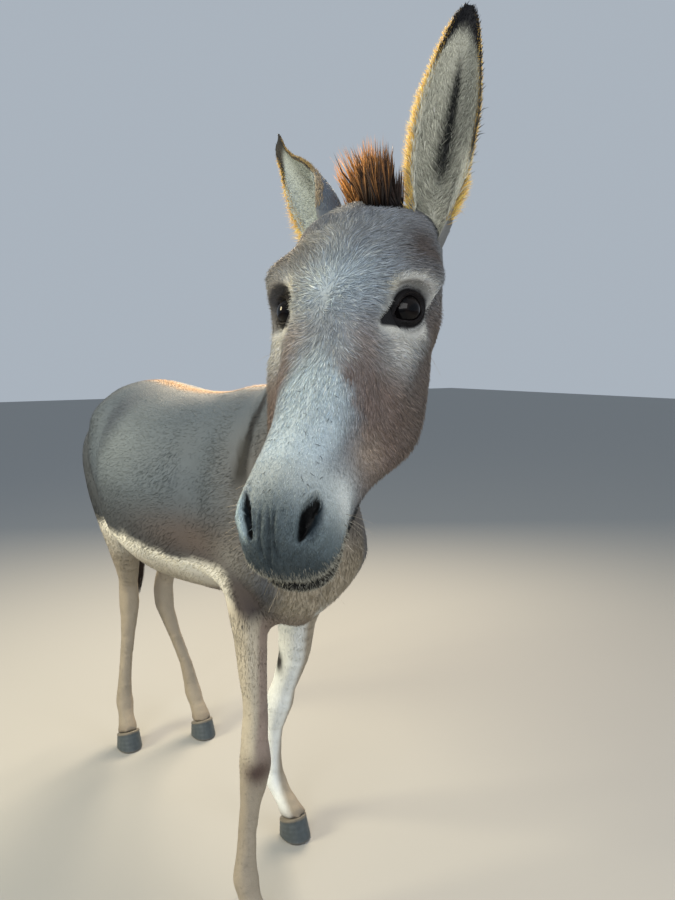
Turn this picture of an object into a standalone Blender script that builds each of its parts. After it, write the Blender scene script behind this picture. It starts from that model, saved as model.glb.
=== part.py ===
"""A donkey standing with its head turned to its right, life size. Metres, +Z up, nose towards -Y.

The flesh is modelled as overlapping lofts, fused into one body, swelled and hollowed where muscle and
bone shape it, and then parted with thin cuts into head, neck, trunk and legs. Eyes, ears, mane, tail
and hooves are pieces of their own that meet the flesh across a hair's breadth.
"""

import math

import bmesh
import bpy
import numpy as np
from mathutils import Matrix, Vector

# ------------------------------------------------------------------ driving dimensions
GAP = 0.0003  # between pieces that touch
FLESH_VOXEL = 0.0048  # grid on which the lofts are fused
LEG_TOP = 0.60  # below this the legs are thinned on their own
HEAD_TRIANGLES = 1880  # the flesh is thinned to these, region by region
BODY_TRIANGLES = 1200
LEG_TRIANGLES = 900
RING_POINTS = 28  # round the flesh's lofts
FEW_POINTS = 12  # round the tail and the mane

# Head frame: origin at the poll. l points to the animal's left, n down the face to the muzzle and d out
# of the forehead; head coordinates (l, n, d) are metres along these. The frame is left-handed, so a
# primitive placed by it has its normals recalculated.
POLL = Vector((-0.1765, -0.543, 1.418))
HEAD_YAW = math.radians(50.6)  # to the animal's right of straight ahead
FACE_SLOPE = math.radians(47.9)  # of the face below the horizontal

EYE_AXIS = Vector((0.72, 0.38, 0.58)).normalized()  # out of the left eye, in the head frame
CORNEA = Vector((0.0780, 0.1840, -0.0380))  # middle of the left eye's surface
EYE_RADIUS = 0.0195
EYE_CORNERS = Vector((0.62, -0.74, -0.26))  # from the front corner of the left eye's lids to the rear one
LID_HALF_WIDTH = 0.0180
LID_HALF_HEIGHT = 0.0152
LID_SHIFT = 0.0010  # of the opening towards the front corner
LID_SLOPE = ((0.45, 1.0), (3.0, 2.2))  # the opening widens outwards: eyeball radii out, and its scale
LID_THICKNESS = 0.0025
LID_BOWL = 0.032  # radius of the bowl in which the lids lie
LID_BOWL_FLOOR = 0.5  # its floor beside the eyeball, as a share of the lids' radius
LID_POINTS = 20

SHARP_ANGLE = math.radians(50)  # between faces that meet in an edge, such as a cut's rim


# ------------------------------------------------------------------ clearing and small helpers
for old in list(bpy.data.objects):
    bpy.data.objects.remove(old)


def material(name, colour, roughness):
    made = bpy.data.materials.new(name)
    made.use_nodes = True
    shader = made.node_tree.nodes["Principled BSDF"]
    shader.inputs["Base Color"].default_value = (*colour, 1.0)
    shader.inputs["Roughness"].default_value = roughness
    shader.inputs["Metallic"].default_value = 0.0
    return made


COAT = material("coat", (0.20, 0.19, 0.185), 0.85)
PALE_COAT = material("pale_coat", (0.46, 0.42, 0.35), 0.85)
EAR_COAT = material("ear_coat", (0.30, 0.31, 0.27), 0.85)
LONG_HAIR = material("long_hair", (0.05, 0.035, 0.028), 0.8)
EYE = material("eye", (0.012, 0.009, 0.008), 0.08)
HOOF = material("hoof", (0.09, 0.095, 0.10), 0.5)


def head_matrix():
    """From head coordinates to the modelling frame."""
    forward = Vector((-math.sin(HEAD_YAW), -math.cos(HEAD_YAW), 0))
    up = Vector((0, 0, 1))
    face = forward * math.cos(FACE_SLOPE) - up * math.sin(FACE_SLOPE)
    dorsal = forward * math.sin(FACE_SLOPE) + up * math.cos(FACE_SLOPE)
    left = dorsal.cross(face)
    turn = Matrix((left, face, dorsal)).transposed().to_4x4()
    return Matrix.Translation(POLL) @ turn


HEAD = head_matrix()


def smooth_rows(rows, steps):
    """Rows of numbers run through with a Catmull-Rom curve, `steps` samples from each row to the next."""
    rows = np.array(rows, float)
    padded = np.vstack([2 * rows[0] - rows[1], rows, 2 * rows[-1] - rows[-2]])
    made = []
    for i in range(1, len(rows)):
        p0, p1, p2, p3 = padded[i - 1:i + 3]
        for t in np.arange(steps) / steps:
            made.append(0.5 * (2 * p1 + (p2 - p0) * t + (2 * p0 - 5 * p1 + 4 * p2 - p3) * t ** 2
                               + (3 * p1 - p0 - 3 * p2 + p3) * t ** 3))
    made.append(rows[-1])
    return np.array(made)


def oval(half_width, up, down, power, count=RING_POINTS):
    """(across, upward) points of a superellipse whose upper and lower halves differ in height."""
    points = []
    for i in range(count):
        angle = 2 * math.pi * i / count
        c, s = math.cos(angle), math.sin(angle)
        across = half_width * math.copysign(abs(c) ** (2 / power), c)
        upward = (up if s > 0 else down) * math.copysign(abs(s) ** (2 / power), s)
        points.append((across, upward))
    return points


def add_loft(body, rings):
    """Bridges closed rings of points, first to last, and closes both ends, in the bmesh `body`."""
    made = [[body.verts.new(point) for point in ring] for ring in rings]
    count = len(made[0])
    faces = []
    for near, far in zip(made, made[1:]):
        for i in range(count):
            j = (i + 1) % count
            faces.append(body.faces.new((near[i], near[j], far[j], far[i])))
    faces.append(body.faces.new(list(reversed(made[0]))))
    faces.append(body.faces.new(made[-1]))
    bmesh.ops.recalc_face_normals(body, faces=faces)


def tube_rings(rows, upward, steps=4, count=RING_POINTS):
    """Rings along a path. Each row: x, y, z, half width, height up, height down, power."""
    path = smooth_rows(rows, steps)
    centres = [Vector(row[:3]) for row in path]
    rings = []
    for i, row in enumerate(path):
        ahead = centres[min(i + 1, len(centres) - 1)] - centres[max(i - 1, 0)]
        across = ahead.cross(Vector(upward)).normalized()
        up = across.cross(ahead).normalized()
        rings.append([centres[i] + across * a + up * u for a, u in oval(*row[3:7], count)])
    return rings


def new_object(name, body, finish):
    mesh = bpy.data.meshes.new(name)
    body.to_mesh(mesh)
    body.free()
    mesh.materials.append(finish)
    made = bpy.data.objects.new(name, mesh)
    bpy.context.collection.objects.link(made)
    return made


def applied(obj):
    """Replaces an object's mesh by the one its modifiers make, and drops the modifiers."""
    graph = bpy.context.evaluated_depsgraph_get()
    graph.update()
    mesh = bpy.data.meshes.new_from_object(obj.evaluated_get(graph), depsgraph=graph)
    obj.modifiers.clear()
    obj.data = mesh
    return obj


def cut(obj, cutter, operation="DIFFERENCE"):
    """Boolean of obj with cutter, applied."""
    modifier = obj.modifiers.new("cut", "BOOLEAN")
    modifier.operation = operation
    modifier.solver = "EXACT"
    modifier.object = cutter
    applied(obj)


def block(matrix, low, high):
    """A cutter: the box from corner `low` to corner `high` of the frame `matrix`."""
    body = bmesh.new()
    low, high = Vector(low), Vector(high)
    size = Matrix.Diagonal((*(high - low), 1))
    bmesh.ops.create_cube(body, size=1, matrix=matrix @ Matrix.Translation((low + high) / 2) @ size)
    bmesh.ops.recalc_face_normals(body, faces=body.faces)
    return new_object("cutter", body, COAT)


def part_off(rest, name, finish, matrix, low, high):
    """Takes what lies in a block off `rest` as a new object, with the gap between the two."""
    piece = bpy.data.objects.new(name, rest.data.copy())
    bpy.context.collection.objects.link(piece)
    inner = block(matrix, low, high)
    cut(piece, inner, "INTERSECT")
    margin = Vector((GAP, GAP, GAP))
    outer = block(matrix, Vector(low) - margin, Vector(high) + margin)
    cut(rest, outer)
    for cutter in (inner, outer):
        bpy.data.objects.remove(cutter)
    piece.data.materials.clear()
    piece.data.materials.append(finish)
    return piece


# ------------------------------------------------------------------ trunk and neck
# y, top, bottom, half width, height of the widest line, power of the section
TRUNK_ROWS = [
    (-0.190, 0.93, 0.765, 0.050, 0.85, 2.0),
    (-0.165, 0.98, 0.710, 0.098, 0.84, 2.1),
    (-0.110, 1.05, 0.665, 0.140, 0.83, 2.1),
    (-0.030, 1.142, 0.645, 0.152, 0.83, 2.0),
    (0.060, 1.150, 0.638, 0.168, 0.83, 1.95),
    (0.180, 1.132, 0.624, 0.205, 0.83, 2.05),
    (0.320, 1.124, 0.613, 0.233, 0.84, 2.15),
    (0.460, 1.126, 0.624, 0.240, 0.86, 2.2),
    (0.600, 1.138, 0.662, 0.223, 0.90, 2.2),
    (0.720, 1.145, 0.716, 0.203, 0.93, 2.2),
    (0.820, 1.130, 0.760, 0.183, 0.93, 2.2),
    (0.900, 1.088, 0.800, 0.150, 0.92, 2.15),
    (0.960, 1.030, 0.835, 0.100, 0.92, 2.0),
    (0.985, 0.985, 0.880, 0.045, 0.93, 2.0),
]
# x, y, z, half width, height up, height down, power
NECK_ROWS = [
    (0.000, 0.040, 0.915, 0.130, 0.215, 0.200, 2.1),
    (-0.004, -0.080, 0.985, 0.112, 0.190, 0.190, 2.1),
    (-0.028, -0.205, 1.080, 0.088, 0.152, 0.145, 2.1),
    (-0.066, -0.325, 1.178, 0.072, 0.122, 0.112, 2.1),
    (-0.108, -0.425, 1.265, 0.065, 0.100, 0.088, 2.1),
    (-0.148, -0.500, 1.330, 0.060, 0.074, 0.068, 2.1),
    (-0.185, -0.545, 1.346, 0.052, 0.046, 0.055, 2.1),
]


def add_trunk(body):
    rings = []
    for y, top, bottom, half_width, widest, power in smooth_rows(TRUNK_ROWS, 4):
        section = oval(half_width, top - widest, widest - bottom, power)
        rings.append([Vector((-a, y, widest + u)) for a, u in section])
    add_loft(body, rings)


def add_neck(body):
    add_loft(body, tube_rings(NECK_ROWS, (0, 0, 1)))


# ------------------------------------------------------------------ head
# Half of each section of the head, from the top of the face round to the throat. Each row: n, d of the
# top, then (l, d) of the bridge's edge, the crest's or brow's line, the cheek and the jaw's edge, d of
# the bottom.
HEAD_ROWS = [
    (-0.038, -0.078, 0.025, -0.084, 0.043, -0.100, 0.048, -0.125, 0.035, -0.150, -0.158),
    (-0.012, -0.042, 0.034, -0.048, 0.066, -0.070, 0.072, -0.110, 0.050, -0.160, -0.175),
    (0.030, -0.015, 0.043, -0.022, 0.082, -0.050, 0.086, -0.105, 0.058, -0.172, -0.190),
    (0.080, -0.001, 0.050, -0.007, 0.094, -0.044, 0.090, -0.110, 0.058, -0.190, -0.208),
    (0.125, 0.005, 0.057, -0.003, 0.103, -0.043, 0.090, -0.120, 0.054, -0.203, -0.221),
    (0.160, 0.005, 0.058, -0.005, 0.100, -0.047, 0.092, -0.125, 0.052, -0.206, -0.223),
    (0.200, 0.001, 0.053, -0.011, 0.086, -0.056, 0.094, -0.128, 0.052, -0.201, -0.216),
    (0.250, -0.005, 0.044, -0.015, 0.073, -0.063, 0.094, -0.130, 0.051, -0.188, -0.200),
    (0.300, -0.009, 0.037, -0.017, 0.061, -0.062, 0.085, -0.124, 0.047, -0.168, -0.178),
    (0.350, -0.011, 0.032, -0.018, 0.050, -0.058, 0.064, -0.109, 0.038, -0.138, -0.145),
    (0.390, -0.012, 0.033, -0.019, 0.048, -0.054, 0.055, -0.099, 0.037, -0.118, -0.123),
    (0.420, -0.012, 0.037, -0.020, 0.054, -0.052, 0.054, -0.094, 0.038, -0.110, -0.115),
    (0.445, -0.015, 0.038, -0.025, 0.056, -0.055, 0.053, -0.091, 0.036, -0.106, -0.111),
    (0.468, -0.028, 0.032, -0.036, 0.051, -0.062, 0.048, -0.090, 0.030, -0.104, -0.108),
    (0.483, -0.048, 0.022, -0.053, 0.039, -0.071, 0.036, -0.090, 0.020, -0.100, -0.102),
    (0.491, -0.069, 0.010, -0.072, 0.017, -0.078, 0.014, -0.085, 0.008, -0.089, -0.090),
]
# n, top, bottom, half width, d of the widest line, power: lower lip and chin
CHIN_ROWS = [
    (0.270, -0.100, -0.172, 0.036, -0.12, 2.2),
    (0.330, -0.100, -0.150, 0.034, -0.12, 2.2),
    (0.385, -0.100, -0.139, 0.034, -0.118, 2.2),
    (0.425, -0.100, -0.140, 0.036, -0.118, 2.2),
    (0.455, -0.100, -0.139, 0.034, -0.118, 2.1),
    (0.470, -0.102, -0.131, 0.027, -0.117, 2.0),
    (0.477, -0.108, -0.124, 0.013, -0.116, 2.0),
]


def head_ring(row):
    """A closed ring through a section's named points and their mirror images."""
    n, top, *sides, bottom = row
    half = [(sides[i], sides[i + 1]) for i in range(0, len(sides), 2)]
    corners = [(0, top), *half, (0, bottom), *[(-l, d) for l, d in reversed(half)]]
    loop = smooth_rows([corners[-1], *corners, corners[0], corners[1]], 4)[4:-8]
    return [HEAD @ Vector((l, n, d)) for l, d in loop]


def add_head(body):
    add_loft(body, [head_ring(row) for row in smooth_rows(HEAD_ROWS, 3)])
    rings = []
    for n, top, bottom, half_width, widest, power in smooth_rows(CHIN_ROWS, 3):
        section = oval(half_width, top - widest, widest - bottom, power)
        rings.append([HEAD @ Vector((a, n, widest + u)) for a, u in section])
    add_loft(body, rings)


# ------------------------------------------------------------------ legs
# Each row: distance from the middle plane, y, z, half width, depth forward, depth back, power.
FORELEG_RIGHT = [
    (0.092, -0.020, 0.860, 0.050, 0.085, 0.090, 2.1),
    (0.098, -0.010, 0.780, 0.056, 0.085, 0.095, 2.1),
    (0.103, -0.004, 0.700, 0.053, 0.066, 0.085, 2.1),
    (0.104, -0.010, 0.610, 0.044, 0.050, 0.062, 2.1),
    (0.098, -0.020, 0.500, 0.034, 0.040, 0.045, 2.1),
    (0.093, -0.032, 0.415, 0.029, 0.033, 0.034, 2.1),
    (0.092, -0.042, 0.365, 0.033, 0.036, 0.033, 2.3),
    (0.095, -0.045, 0.325, 0.029, 0.029, 0.032, 2.3),
    (0.104, -0.051, 0.270, 0.0205, 0.020, 0.029, 2.2),
    (0.113, -0.057, 0.200, 0.0195, 0.019, 0.028, 2.2),
    (0.119, -0.062, 0.150, 0.023, 0.022, 0.031, 2.1),
    (0.121, -0.065, 0.122, 0.028, 0.026, 0.033, 2.1),
    (0.120, -0.076, 0.092, 0.024, 0.024, 0.027, 2.1),
    (0.120, -0.092, 0.066, 0.028, 0.028, 0.029, 2.1),
    (0.120, -0.101, 0.048, 0.033, 0.035, 0.034, 2.1),
    (0.120, -0.109, 0.028, 0.034, 0.036, 0.034, 2.1),
]
FORELEG_LEFT = [
    (0.092, -0.010, 0.860, 0.050, 0.085, 0.090, 2.1),
    (0.098, 0.005, 0.780, 0.056, 0.085, 0.095, 2.1),
    (0.103, 0.025, 0.700, 0.053, 0.066, 0.085, 2.1),
    (0.103, 0.058, 0.610, 0.044, 0.050, 0.062, 2.1),
    (0.096, 0.100, 0.500, 0.034, 0.040, 0.045, 2.1),
    (0.089, 0.135, 0.415, 0.029, 0.033, 0.034, 2.1),
    (0.087, 0.156, 0.365, 0.033, 0.036, 0.033, 2.3),
    (0.087, 0.170, 0.325, 0.029, 0.029, 0.032, 2.3),
    (0.089, 0.186, 0.270, 0.0205, 0.020, 0.029, 2.2),
    (0.093, 0.200, 0.200, 0.0195, 0.019, 0.028, 2.2),
    (0.097, 0.207, 0.150, 0.023, 0.022, 0.031, 2.1),
    (0.099, 0.206, 0.122, 0.028, 0.026, 0.033, 2.1),
    (0.106, 0.184, 0.092, 0.024, 0.024, 0.027, 2.1),
    (0.112, 0.158, 0.066, 0.028, 0.028, 0.029, 2.1),
    (0.115, 0.146, 0.048, 0.033, 0.035, 0.034, 2.1),
    (0.117, 0.137, 0.028, 0.034, 0.036, 0.034, 2.1),
]
HINDLEG_RIGHT = [
    (0.085, 0.820, 1.010, 0.065, 0.110, 0.110, 2.1),
    (0.108, 0.815, 0.930, 0.078, 0.130, 0.135, 2.1),
    (0.112, 0.795, 0.840, 0.076, 0.125, 0.140, 2.1),
    (0.109, 0.772, 0.740, 0.064, 0.105, 0.112, 2.1),
    (0.096, 0.785, 0.640, 0.048, 0.070, 0.070, 2.1),
    (0.076, 0.825, 0.550, 0.034, 0.044, 0.044, 2.1),
    (0.066, 0.852, 0.500, 0.028, 0.034, 0.047, 2.2),
    (0.062, 0.863, 0.445, 0.030, 0.036, 0.048, 2.3),
    (0.063, 0.866, 0.410, 0.029, 0.036, 0.039, 2.3),
    (0.066, 0.862, 0.380, 0.026, 0.031, 0.034, 2.3),
    (0.076, 0.854, 0.310, 0.0205, 0.021, 0.028, 2.2),
    (0.090, 0.842, 0.220, 0.0195, 0.020, 0.027, 2.2),
    (0.099, 0.832, 0.155, 0.023, 0.023, 0.030, 2.1),
    (0.102, 0.824, 0.124, 0.027, 0.026, 0.032, 2.1),
    (0.105, 0.806, 0.094, 0.024, 0.024, 0.026, 2.1),
    (0.108, 0.788, 0.067, 0.027, 0.028, 0.028, 2.1),
    (0.109, 0.779, 0.048, 0.031, 0.034, 0.032, 2.1),
    (0.110, 0.771, 0.028, 0.032, 0.035, 0.033, 2.1),
]
HIND_STEP = 0.066  # the left hind foot stands this much further forward than the right
HIND_SWING_TOP = 0.85  # height from which the left hind leg swings
HIND_SWING_DROP = 0.75


def hindleg_left():
    """The right hind leg's rows with the leg swung forward under the body."""
    rows = []
    for x, y, z, *section in HINDLEG_RIGHT:
        share = min(1.0, max(0.0, (HIND_SWING_TOP - z) / HIND_SWING_DROP))
        rows.append((x, y - HIND_STEP * share, z, *section))
    return rows


# name: side, rows, height and lowest y of the cut under the trunk, height of the cut under knee or hock
LEGS = {
    "foreleg_right": (-1, FORELEG_RIGHT, 0.600, -0.30, 0.335),
    "foreleg_left": (1, FORELEG_LEFT, 0.600, -0.30, 0.335),
    "hindleg_right": (-1, HINDLEG_RIGHT, 0.665, 0.650, 0.395),
    "hindleg_left": (1, hindleg_left(), 0.665, 0.650, 0.395),
}


def leg_rows(name):
    side, rows = LEGS[name][:2]
    return [(side * row[0], *row[1:]) for row in rows]


def add_legs(body):
    for name in LEGS:
        add_loft(body, tube_rings(leg_rows(name), (0, -1, 0)))


# ------------------------------------------------------------------ form: muscles, bones and hollows
# Centre, reach along each axis, and height of each swelling (or depth, below zero), in metres.
# Body forms come in a left and a right at +x and -x, head forms at +l and -l.
BODY_FORMS = [
    ((0.135, 0.000, 0.960), (0.06, 0.055, 0.120), 0.012),  # shoulder blade
    ((0.135, 0.115, 0.950), (0.06, 0.050, 0.140), -0.007),  # behind the shoulder
    ((0.125, -0.120, 0.800), (0.07, 0.060, 0.070), 0.014),  # point of the shoulder
    ((0.000, -0.185, 0.790), (0.03, 0.060, 0.100), -0.010),  # breast furrow
    ((0.150, 0.080, 0.760), (0.06, 0.070, 0.080), 0.008),  # triceps
    ((0.165, 0.715, 1.040), (0.05, 0.050, 0.045), 0.013),  # point of the hip
    ((0.185, 0.620, 0.960), (0.05, 0.060, 0.110), -0.010),  # flank hollow
    ((0.140, 0.930, 0.930), (0.07, 0.060, 0.090), 0.010),  # buttock
    ((0.120, 0.690, 0.720), (0.06, 0.060, 0.070), 0.008),  # stifle
    ((0.110, -0.260, 1.100), (0.06, 0.110, 0.050), -0.006),  # groove of the neck
]
HEAD_FORMS = [
    ((0.094, 0.143, -0.026), (0.022, 0.028, 0.020), 0.0075),  # brow over the eye
    ((0.074, 0.088, -0.024), (0.020, 0.026, 0.020), -0.0045),  # hollow above the brow
    ((0.079, 0.192, -0.026), (0.026, 0.028, 0.024), -0.0085),  # eye socket
    ((0.066, 0.236, -0.036), (0.020, 0.030, 0.022), -0.0035),  # in front of the eye
    ((0.074, 0.255, -0.070), (0.022, 0.060, 0.013), 0.0050),  # facial crest
    ((0.060, 0.345, -0.085), (0.022, 0.026, 0.026), -0.0045),  # behind the mouth's corner
    ((0.090, 0.190, -0.140), (0.024, 0.070, 0.050), 0.0045),  # jaw muscle
    ((0.048, 0.446, -0.038), (0.014, 0.022, 0.020), 0.0045),  # wing of the nostril
    ((0.033, 0.439, -0.024), (0.0060, 0.0090, 0.0080), -0.0080),  # nostril, top
    ((0.027, 0.450, -0.030), (0.0060, 0.0090, 0.0080), -0.0100),  # nostril, middle
    ((0.020, 0.461, -0.037), (0.0060, 0.0090, 0.0080), -0.0080),  # nostril, bottom
    ((0.024, 0.380, -0.012), (0.014, 0.040, 0.010), -0.0015),  # beside the nose bone
]


def swell(points, normals, frame, forms):
    """Moves the points along their normals by a sum of smooth bumps, each mirrored left and right."""
    local = (points - np.array(frame.translation)) @ np.array(frame.to_3x3())
    height = np.zeros(len(points))
    for centre, reach, amount in forms:
        for side in (-1, 1):
            away = (local - np.array(centre) * (side, 1, 1)) / np.array(reach)
            height += amount * np.exp(-(away ** 2).sum(axis=1))
    return points + normals * height[:, None]


def read_points(mesh):
    flat = np.empty(len(mesh.vertices) * 3, np.float32)
    mesh.vertices.foreach_get("co", flat)
    return flat.reshape(-1, 3).astype(float)


def read_normals(mesh):
    flat = np.empty(len(mesh.vertices) * 3, np.float32)
    mesh.vertex_normals.foreach_get("vector", flat)
    return flat.reshape(-1, 3).astype(float)


def make_flesh():
    body = bmesh.new()
    add_trunk(body)
    add_neck(body)
    add_head(body)
    add_legs(body)
    flesh = new_object("flesh", body, COAT)
    fuse = flesh.modifiers.new("fuse", "REMESH")
    fuse.mode = "VOXEL"
    fuse.voxel_size = FLESH_VOXEL
    applied(flesh)

    # the trunk's joints with neck and legs are softened far more than the head and the lower legs
    points = read_points(flesh.data)
    from_poll = np.linalg.norm(points - np.array(HEAD @ Vector((0, 0.22, -0.08))), axis=1)
    away_from_head = np.clip((from_poll - 0.24) / 0.10, 0, 1)
    above_knees = np.clip((points[:, 2] - 0.42) / 0.20, 0, 1)
    soft = flesh.vertex_groups.new(name="soft")
    for i, weight in enumerate(away_from_head * above_knees):
        if weight > 0:
            soft.add([i], weight, "REPLACE")
    everywhere = flesh.modifiers.new("everywhere", "SMOOTH")
    everywhere.factor = 0.5
    everywhere.iterations = 6
    joints = flesh.modifiers.new("joints", "SMOOTH")
    joints.factor = 0.8
    joints.iterations = 45
    joints.vertex_group = "soft"
    applied(flesh)

    points = swell(read_points(flesh.data), read_normals(flesh.data), Matrix.Identity(4), BODY_FORMS)
    flesh.data.vertices.foreach_set("co", points.ravel())
    flesh.data.update()
    points = cover_eyes(swell(points, read_normals(flesh.data), HEAD, HEAD_FORMS))
    flesh.data.vertices.foreach_set("co", points.ravel())
    flesh.data.update()

    return flesh


def in_head(points):
    local = (points - np.array(HEAD.translation)) @ np.array(HEAD.to_3x3())
    return (np.abs(local[:, 0]) < 0.13) & (local[:, 1] > -0.02) & (np.abs(local[:, 2] + 0.1) < 0.14)


def in_legs(points):
    return points[:, 2] < LEG_TOP


def in_body(points):
    return ~in_head(points) & ~in_legs(points)


def thin_flesh(flesh):
    """Takes the flesh down to few triangles, region by region, as smaller ones are needed on the head."""
    for region, wanted in ((in_body, BODY_TRIANGLES), (in_legs, LEG_TRIANGLES), (in_head, HEAD_TRIANGLES)):
        mesh = flesh.data
        mesh.calc_loop_triangles()
        inside = region(read_points(mesh))
        corners = np.empty(len(mesh.loop_triangles) * 3, np.int32)
        mesh.loop_triangles.foreach_get("vertices", corners)
        found = int(inside[corners.reshape(-1, 3)].all(axis=1).sum())
        group = flesh.vertex_groups.new(name="region")
        group.add([int(i) for i in np.flatnonzero(inside)], 1.0, "REPLACE")
        thin = flesh.modifiers.new("thin", "DECIMATE")
        thin.ratio = 1 - (found - wanted) / len(mesh.loop_triangles)
        thin.vertex_group = "region"
        thin.vertex_group_factor = 1.0
        applied(flesh)
        flesh.vertex_groups.clear()


# ------------------------------------------------------------------ eyes
def eye_side(vector, side):
    return Vector((side * vector.x, vector.y, vector.z))


def eye_matrix(side):
    """Frame at the eyeball's centre: z out of the eye, x from the front corner of the lids to the rear."""
    axis = eye_side(EYE_AXIS, side)
    centre = eye_side(CORNEA, side) - axis * EYE_RADIUS
    along = eye_side(EYE_CORNERS, side)
    along = (along - axis * along.dot(axis)).normalized()
    turn = Matrix((along, axis.cross(along), axis)).transposed().to_4x4()
    return HEAD @ Matrix.Translation(centre) @ turn


def eyeball(name, side, radius):
    body = bmesh.new()
    size = Matrix.Scale(radius, 4)
    bmesh.ops.create_uvsphere(body, u_segments=16, v_segments=10, radius=1, matrix=eye_matrix(side) @ size)
    bmesh.ops.recalc_face_normals(body, faces=body.faces)
    return new_object(name, body, EYE)


def lid_opening(side):
    """A cutter: the almond between the lids, pushed out along the eye's axis."""
    body = bmesh.new()
    outline = []
    for i in range(LID_POINTS):
        angle = 2 * math.pi * i / LID_POINTS
        x = LID_HALF_WIDTH * math.cos(angle)
        height = LID_HALF_HEIGHT * math.sin(angle) * abs(math.sin(angle)) ** 0.2
        outline.append((x - LID_SHIFT, height))
    place = eye_matrix(side)
    rings = []
    for out, scale in LID_SLOPE:
        rings.append([place @ Vector((scale * x, scale * y, out * EYE_RADIUS)) for x, y in outline])
    add_loft(body, rings)
    return new_object("cutter", body, COAT)


def cover_eyes(points):
    """Draws the skin to a lid's thickness off each eyeball, in a bowl that runs out onto the brow."""
    for side in (-1, 1):
        place = eye_matrix(side)
        turn = np.array(place.to_3x3())
        local = (points - np.array(place.translation)) @ turn
        away = np.hypot(local[:, 0], local[:, 1])
        lids = EYE_RADIUS + LID_THICKNESS
        bowl = np.sqrt(np.maximum(lids ** 2 - away ** 2, (LID_BOWL_FLOOR * lids) ** 2))
        share = np.clip((LID_BOWL - away) / (LID_BOWL - lids), 0, 1) * (local[:, 2] > 0)
        share = share ** 2 * (3 - 2 * share)
        points += (share * (bowl - local[:, 2]))[:, None] * turn[:, 2]
    return points


# ------------------------------------------------------------------ ears
# share of the length, half width, depth of the cup, thickness, degrees that the lips wrap round
EAR_ROWS = [
    (-0.14, 0.017, 0.016, 0.007, 150),
    (0.00, 0.030, 0.028, 0.008, 138),
    (0.08, 0.034, 0.031, 0.008, 124),
    (0.18, 0.039, 0.034, 0.008, 107),
    (0.30, 0.043, 0.034, 0.007, 94),
    (0.42, 0.0445, 0.032, 0.0065, 86),
    (0.55, 0.043, 0.028, 0.006, 80),
    (0.67, 0.037, 0.022, 0.006, 76),
    (0.78, 0.030, 0.016, 0.0055, 72),
    (0.88, 0.022, 0.010, 0.005, 70),
    (0.95, 0.015, 0.006, 0.005, 70),
    (1.00, 0.006, 0.0035, 0.004, 70),
]
# base, tip and direction of the opening, in the head frame
EARS = {
    "ear_left": ((0.072, 0.030, -0.060), (0.110, -0.230, 0.081), (0.16, 0.86, 0.48)),
    "ear_right": ((-0.057, 0.022, -0.056), (-0.197, -0.238, -0.076), (-0.48, 0.74, 0.45)),
}
EAR_ARC_POINTS = 8


def add_ear(name, finish):
    base, tip, opening = (Vector(v) for v in EARS[name])
    axis = (tip - base).normalized()
    opening = (opening - axis * opening.dot(axis)).normalized()
    across = axis.cross(opening)
    rings = []
    for share, half_width, depth, thickness, wrap in EAR_ROWS:
        wrap = math.radians(wrap)
        radius = half_width / math.sin(min(wrap, math.pi / 2))
        fall = depth / (radius * (1 - math.cos(min(wrap, math.pi / 2))))
        loop = []
        for inset, order in ((0, 1), (thickness, -1)):
            for i in range(EAR_ARC_POINTS)[::order]:
                angle = wrap * (2 * i / (EAR_ARC_POINTS - 1) - 1)
                x = (radius - inset) * math.sin(angle)
                y = inset - depth + (radius - inset) * fall * (1 - math.cos(angle))
                loop.append(HEAD @ (base + (tip - base) * share + across * x + opening * y))
        rings.append(loop)
    body = bmesh.new()
    add_loft(body, rings)
    return new_object(name, body, finish)


# ------------------------------------------------------------------ mane and tail
MANE_SIZE = (0.018, 0.066, 0.030)  # half width, height above the crest, depth into it
MANE_FRONT = Vector((0, -0.006, -0.040))  # in the head frame, between the ears
WITHERS = Vector((0, 0.010, 1.143))
MANE_FALL = 0.35  # share of the height left at the withers
MANE_RISE = 1.6  # how soon it reaches its full height
TAIL_ROWS = [
    (0.000, 0.915, 1.045, 0.026, 0.022, 0.022, 2.0),
    (0.000, 0.968, 1.024, 0.025, 0.022, 0.022, 2.0),
    (0.003, 1.004, 0.968, 0.022, 0.020, 0.020, 2.0),
    (0.006, 1.014, 0.890, 0.020, 0.018, 0.018, 2.0),
    (0.009, 1.016, 0.800, 0.019, 0.018, 0.018, 2.0),
    (0.011, 1.017, 0.700, 0.026, 0.024, 0.024, 2.0),
    (0.013, 1.017, 0.600, 0.033, 0.030, 0.030, 2.0),
    (0.014, 1.016, 0.500, 0.029, 0.027, 0.027, 2.0),
    (0.015, 1.014, 0.430, 0.016, 0.015, 0.015, 2.0),
    (0.015, 1.013, 0.395, 0.005, 0.005, 0.005, 2.0),
]
TUFT_TOP = 0.740


def make_mane():
    """A tall thin ridge along the top of the neck, from between the ears to the withers."""
    path = smooth_rows(NECK_ROWS, 2)
    crest = []
    for before, row, after in zip(path, path[1:], path[2:]):
        ahead = Vector(after[:3]) - Vector(before[:3])
        across = ahead.cross(Vector((0, 0, 1))).normalized()
        crest.append(Vector(row[:3]) + across.cross(ahead).normalized() * row[4])
    crest = [WITHERS, *[point for point in crest if point.z > WITHERS.z + 0.01][:-1], HEAD @ MANE_FRONT]
    half_width, height, root = MANE_SIZE
    rows = []
    for i, point in enumerate(crest):
        share = i / (len(crest) - 1)
        grown = height * min(1, MANE_FALL + (1 - MANE_FALL) * MANE_RISE * share)
        rows.append((*point, half_width, grown, root, 1.6))
    body = bmesh.new()
    add_loft(body, tube_rings(rows, (0, 0, 1), 1, FEW_POINTS))
    return new_object("mane", body, LONG_HAIR)


def make_tail():
    body = bmesh.new()
    add_loft(body, tube_rings(TAIL_ROWS, (0, 1, 0), 2, FEW_POINTS))
    return new_object("tail", body, COAT)


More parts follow.
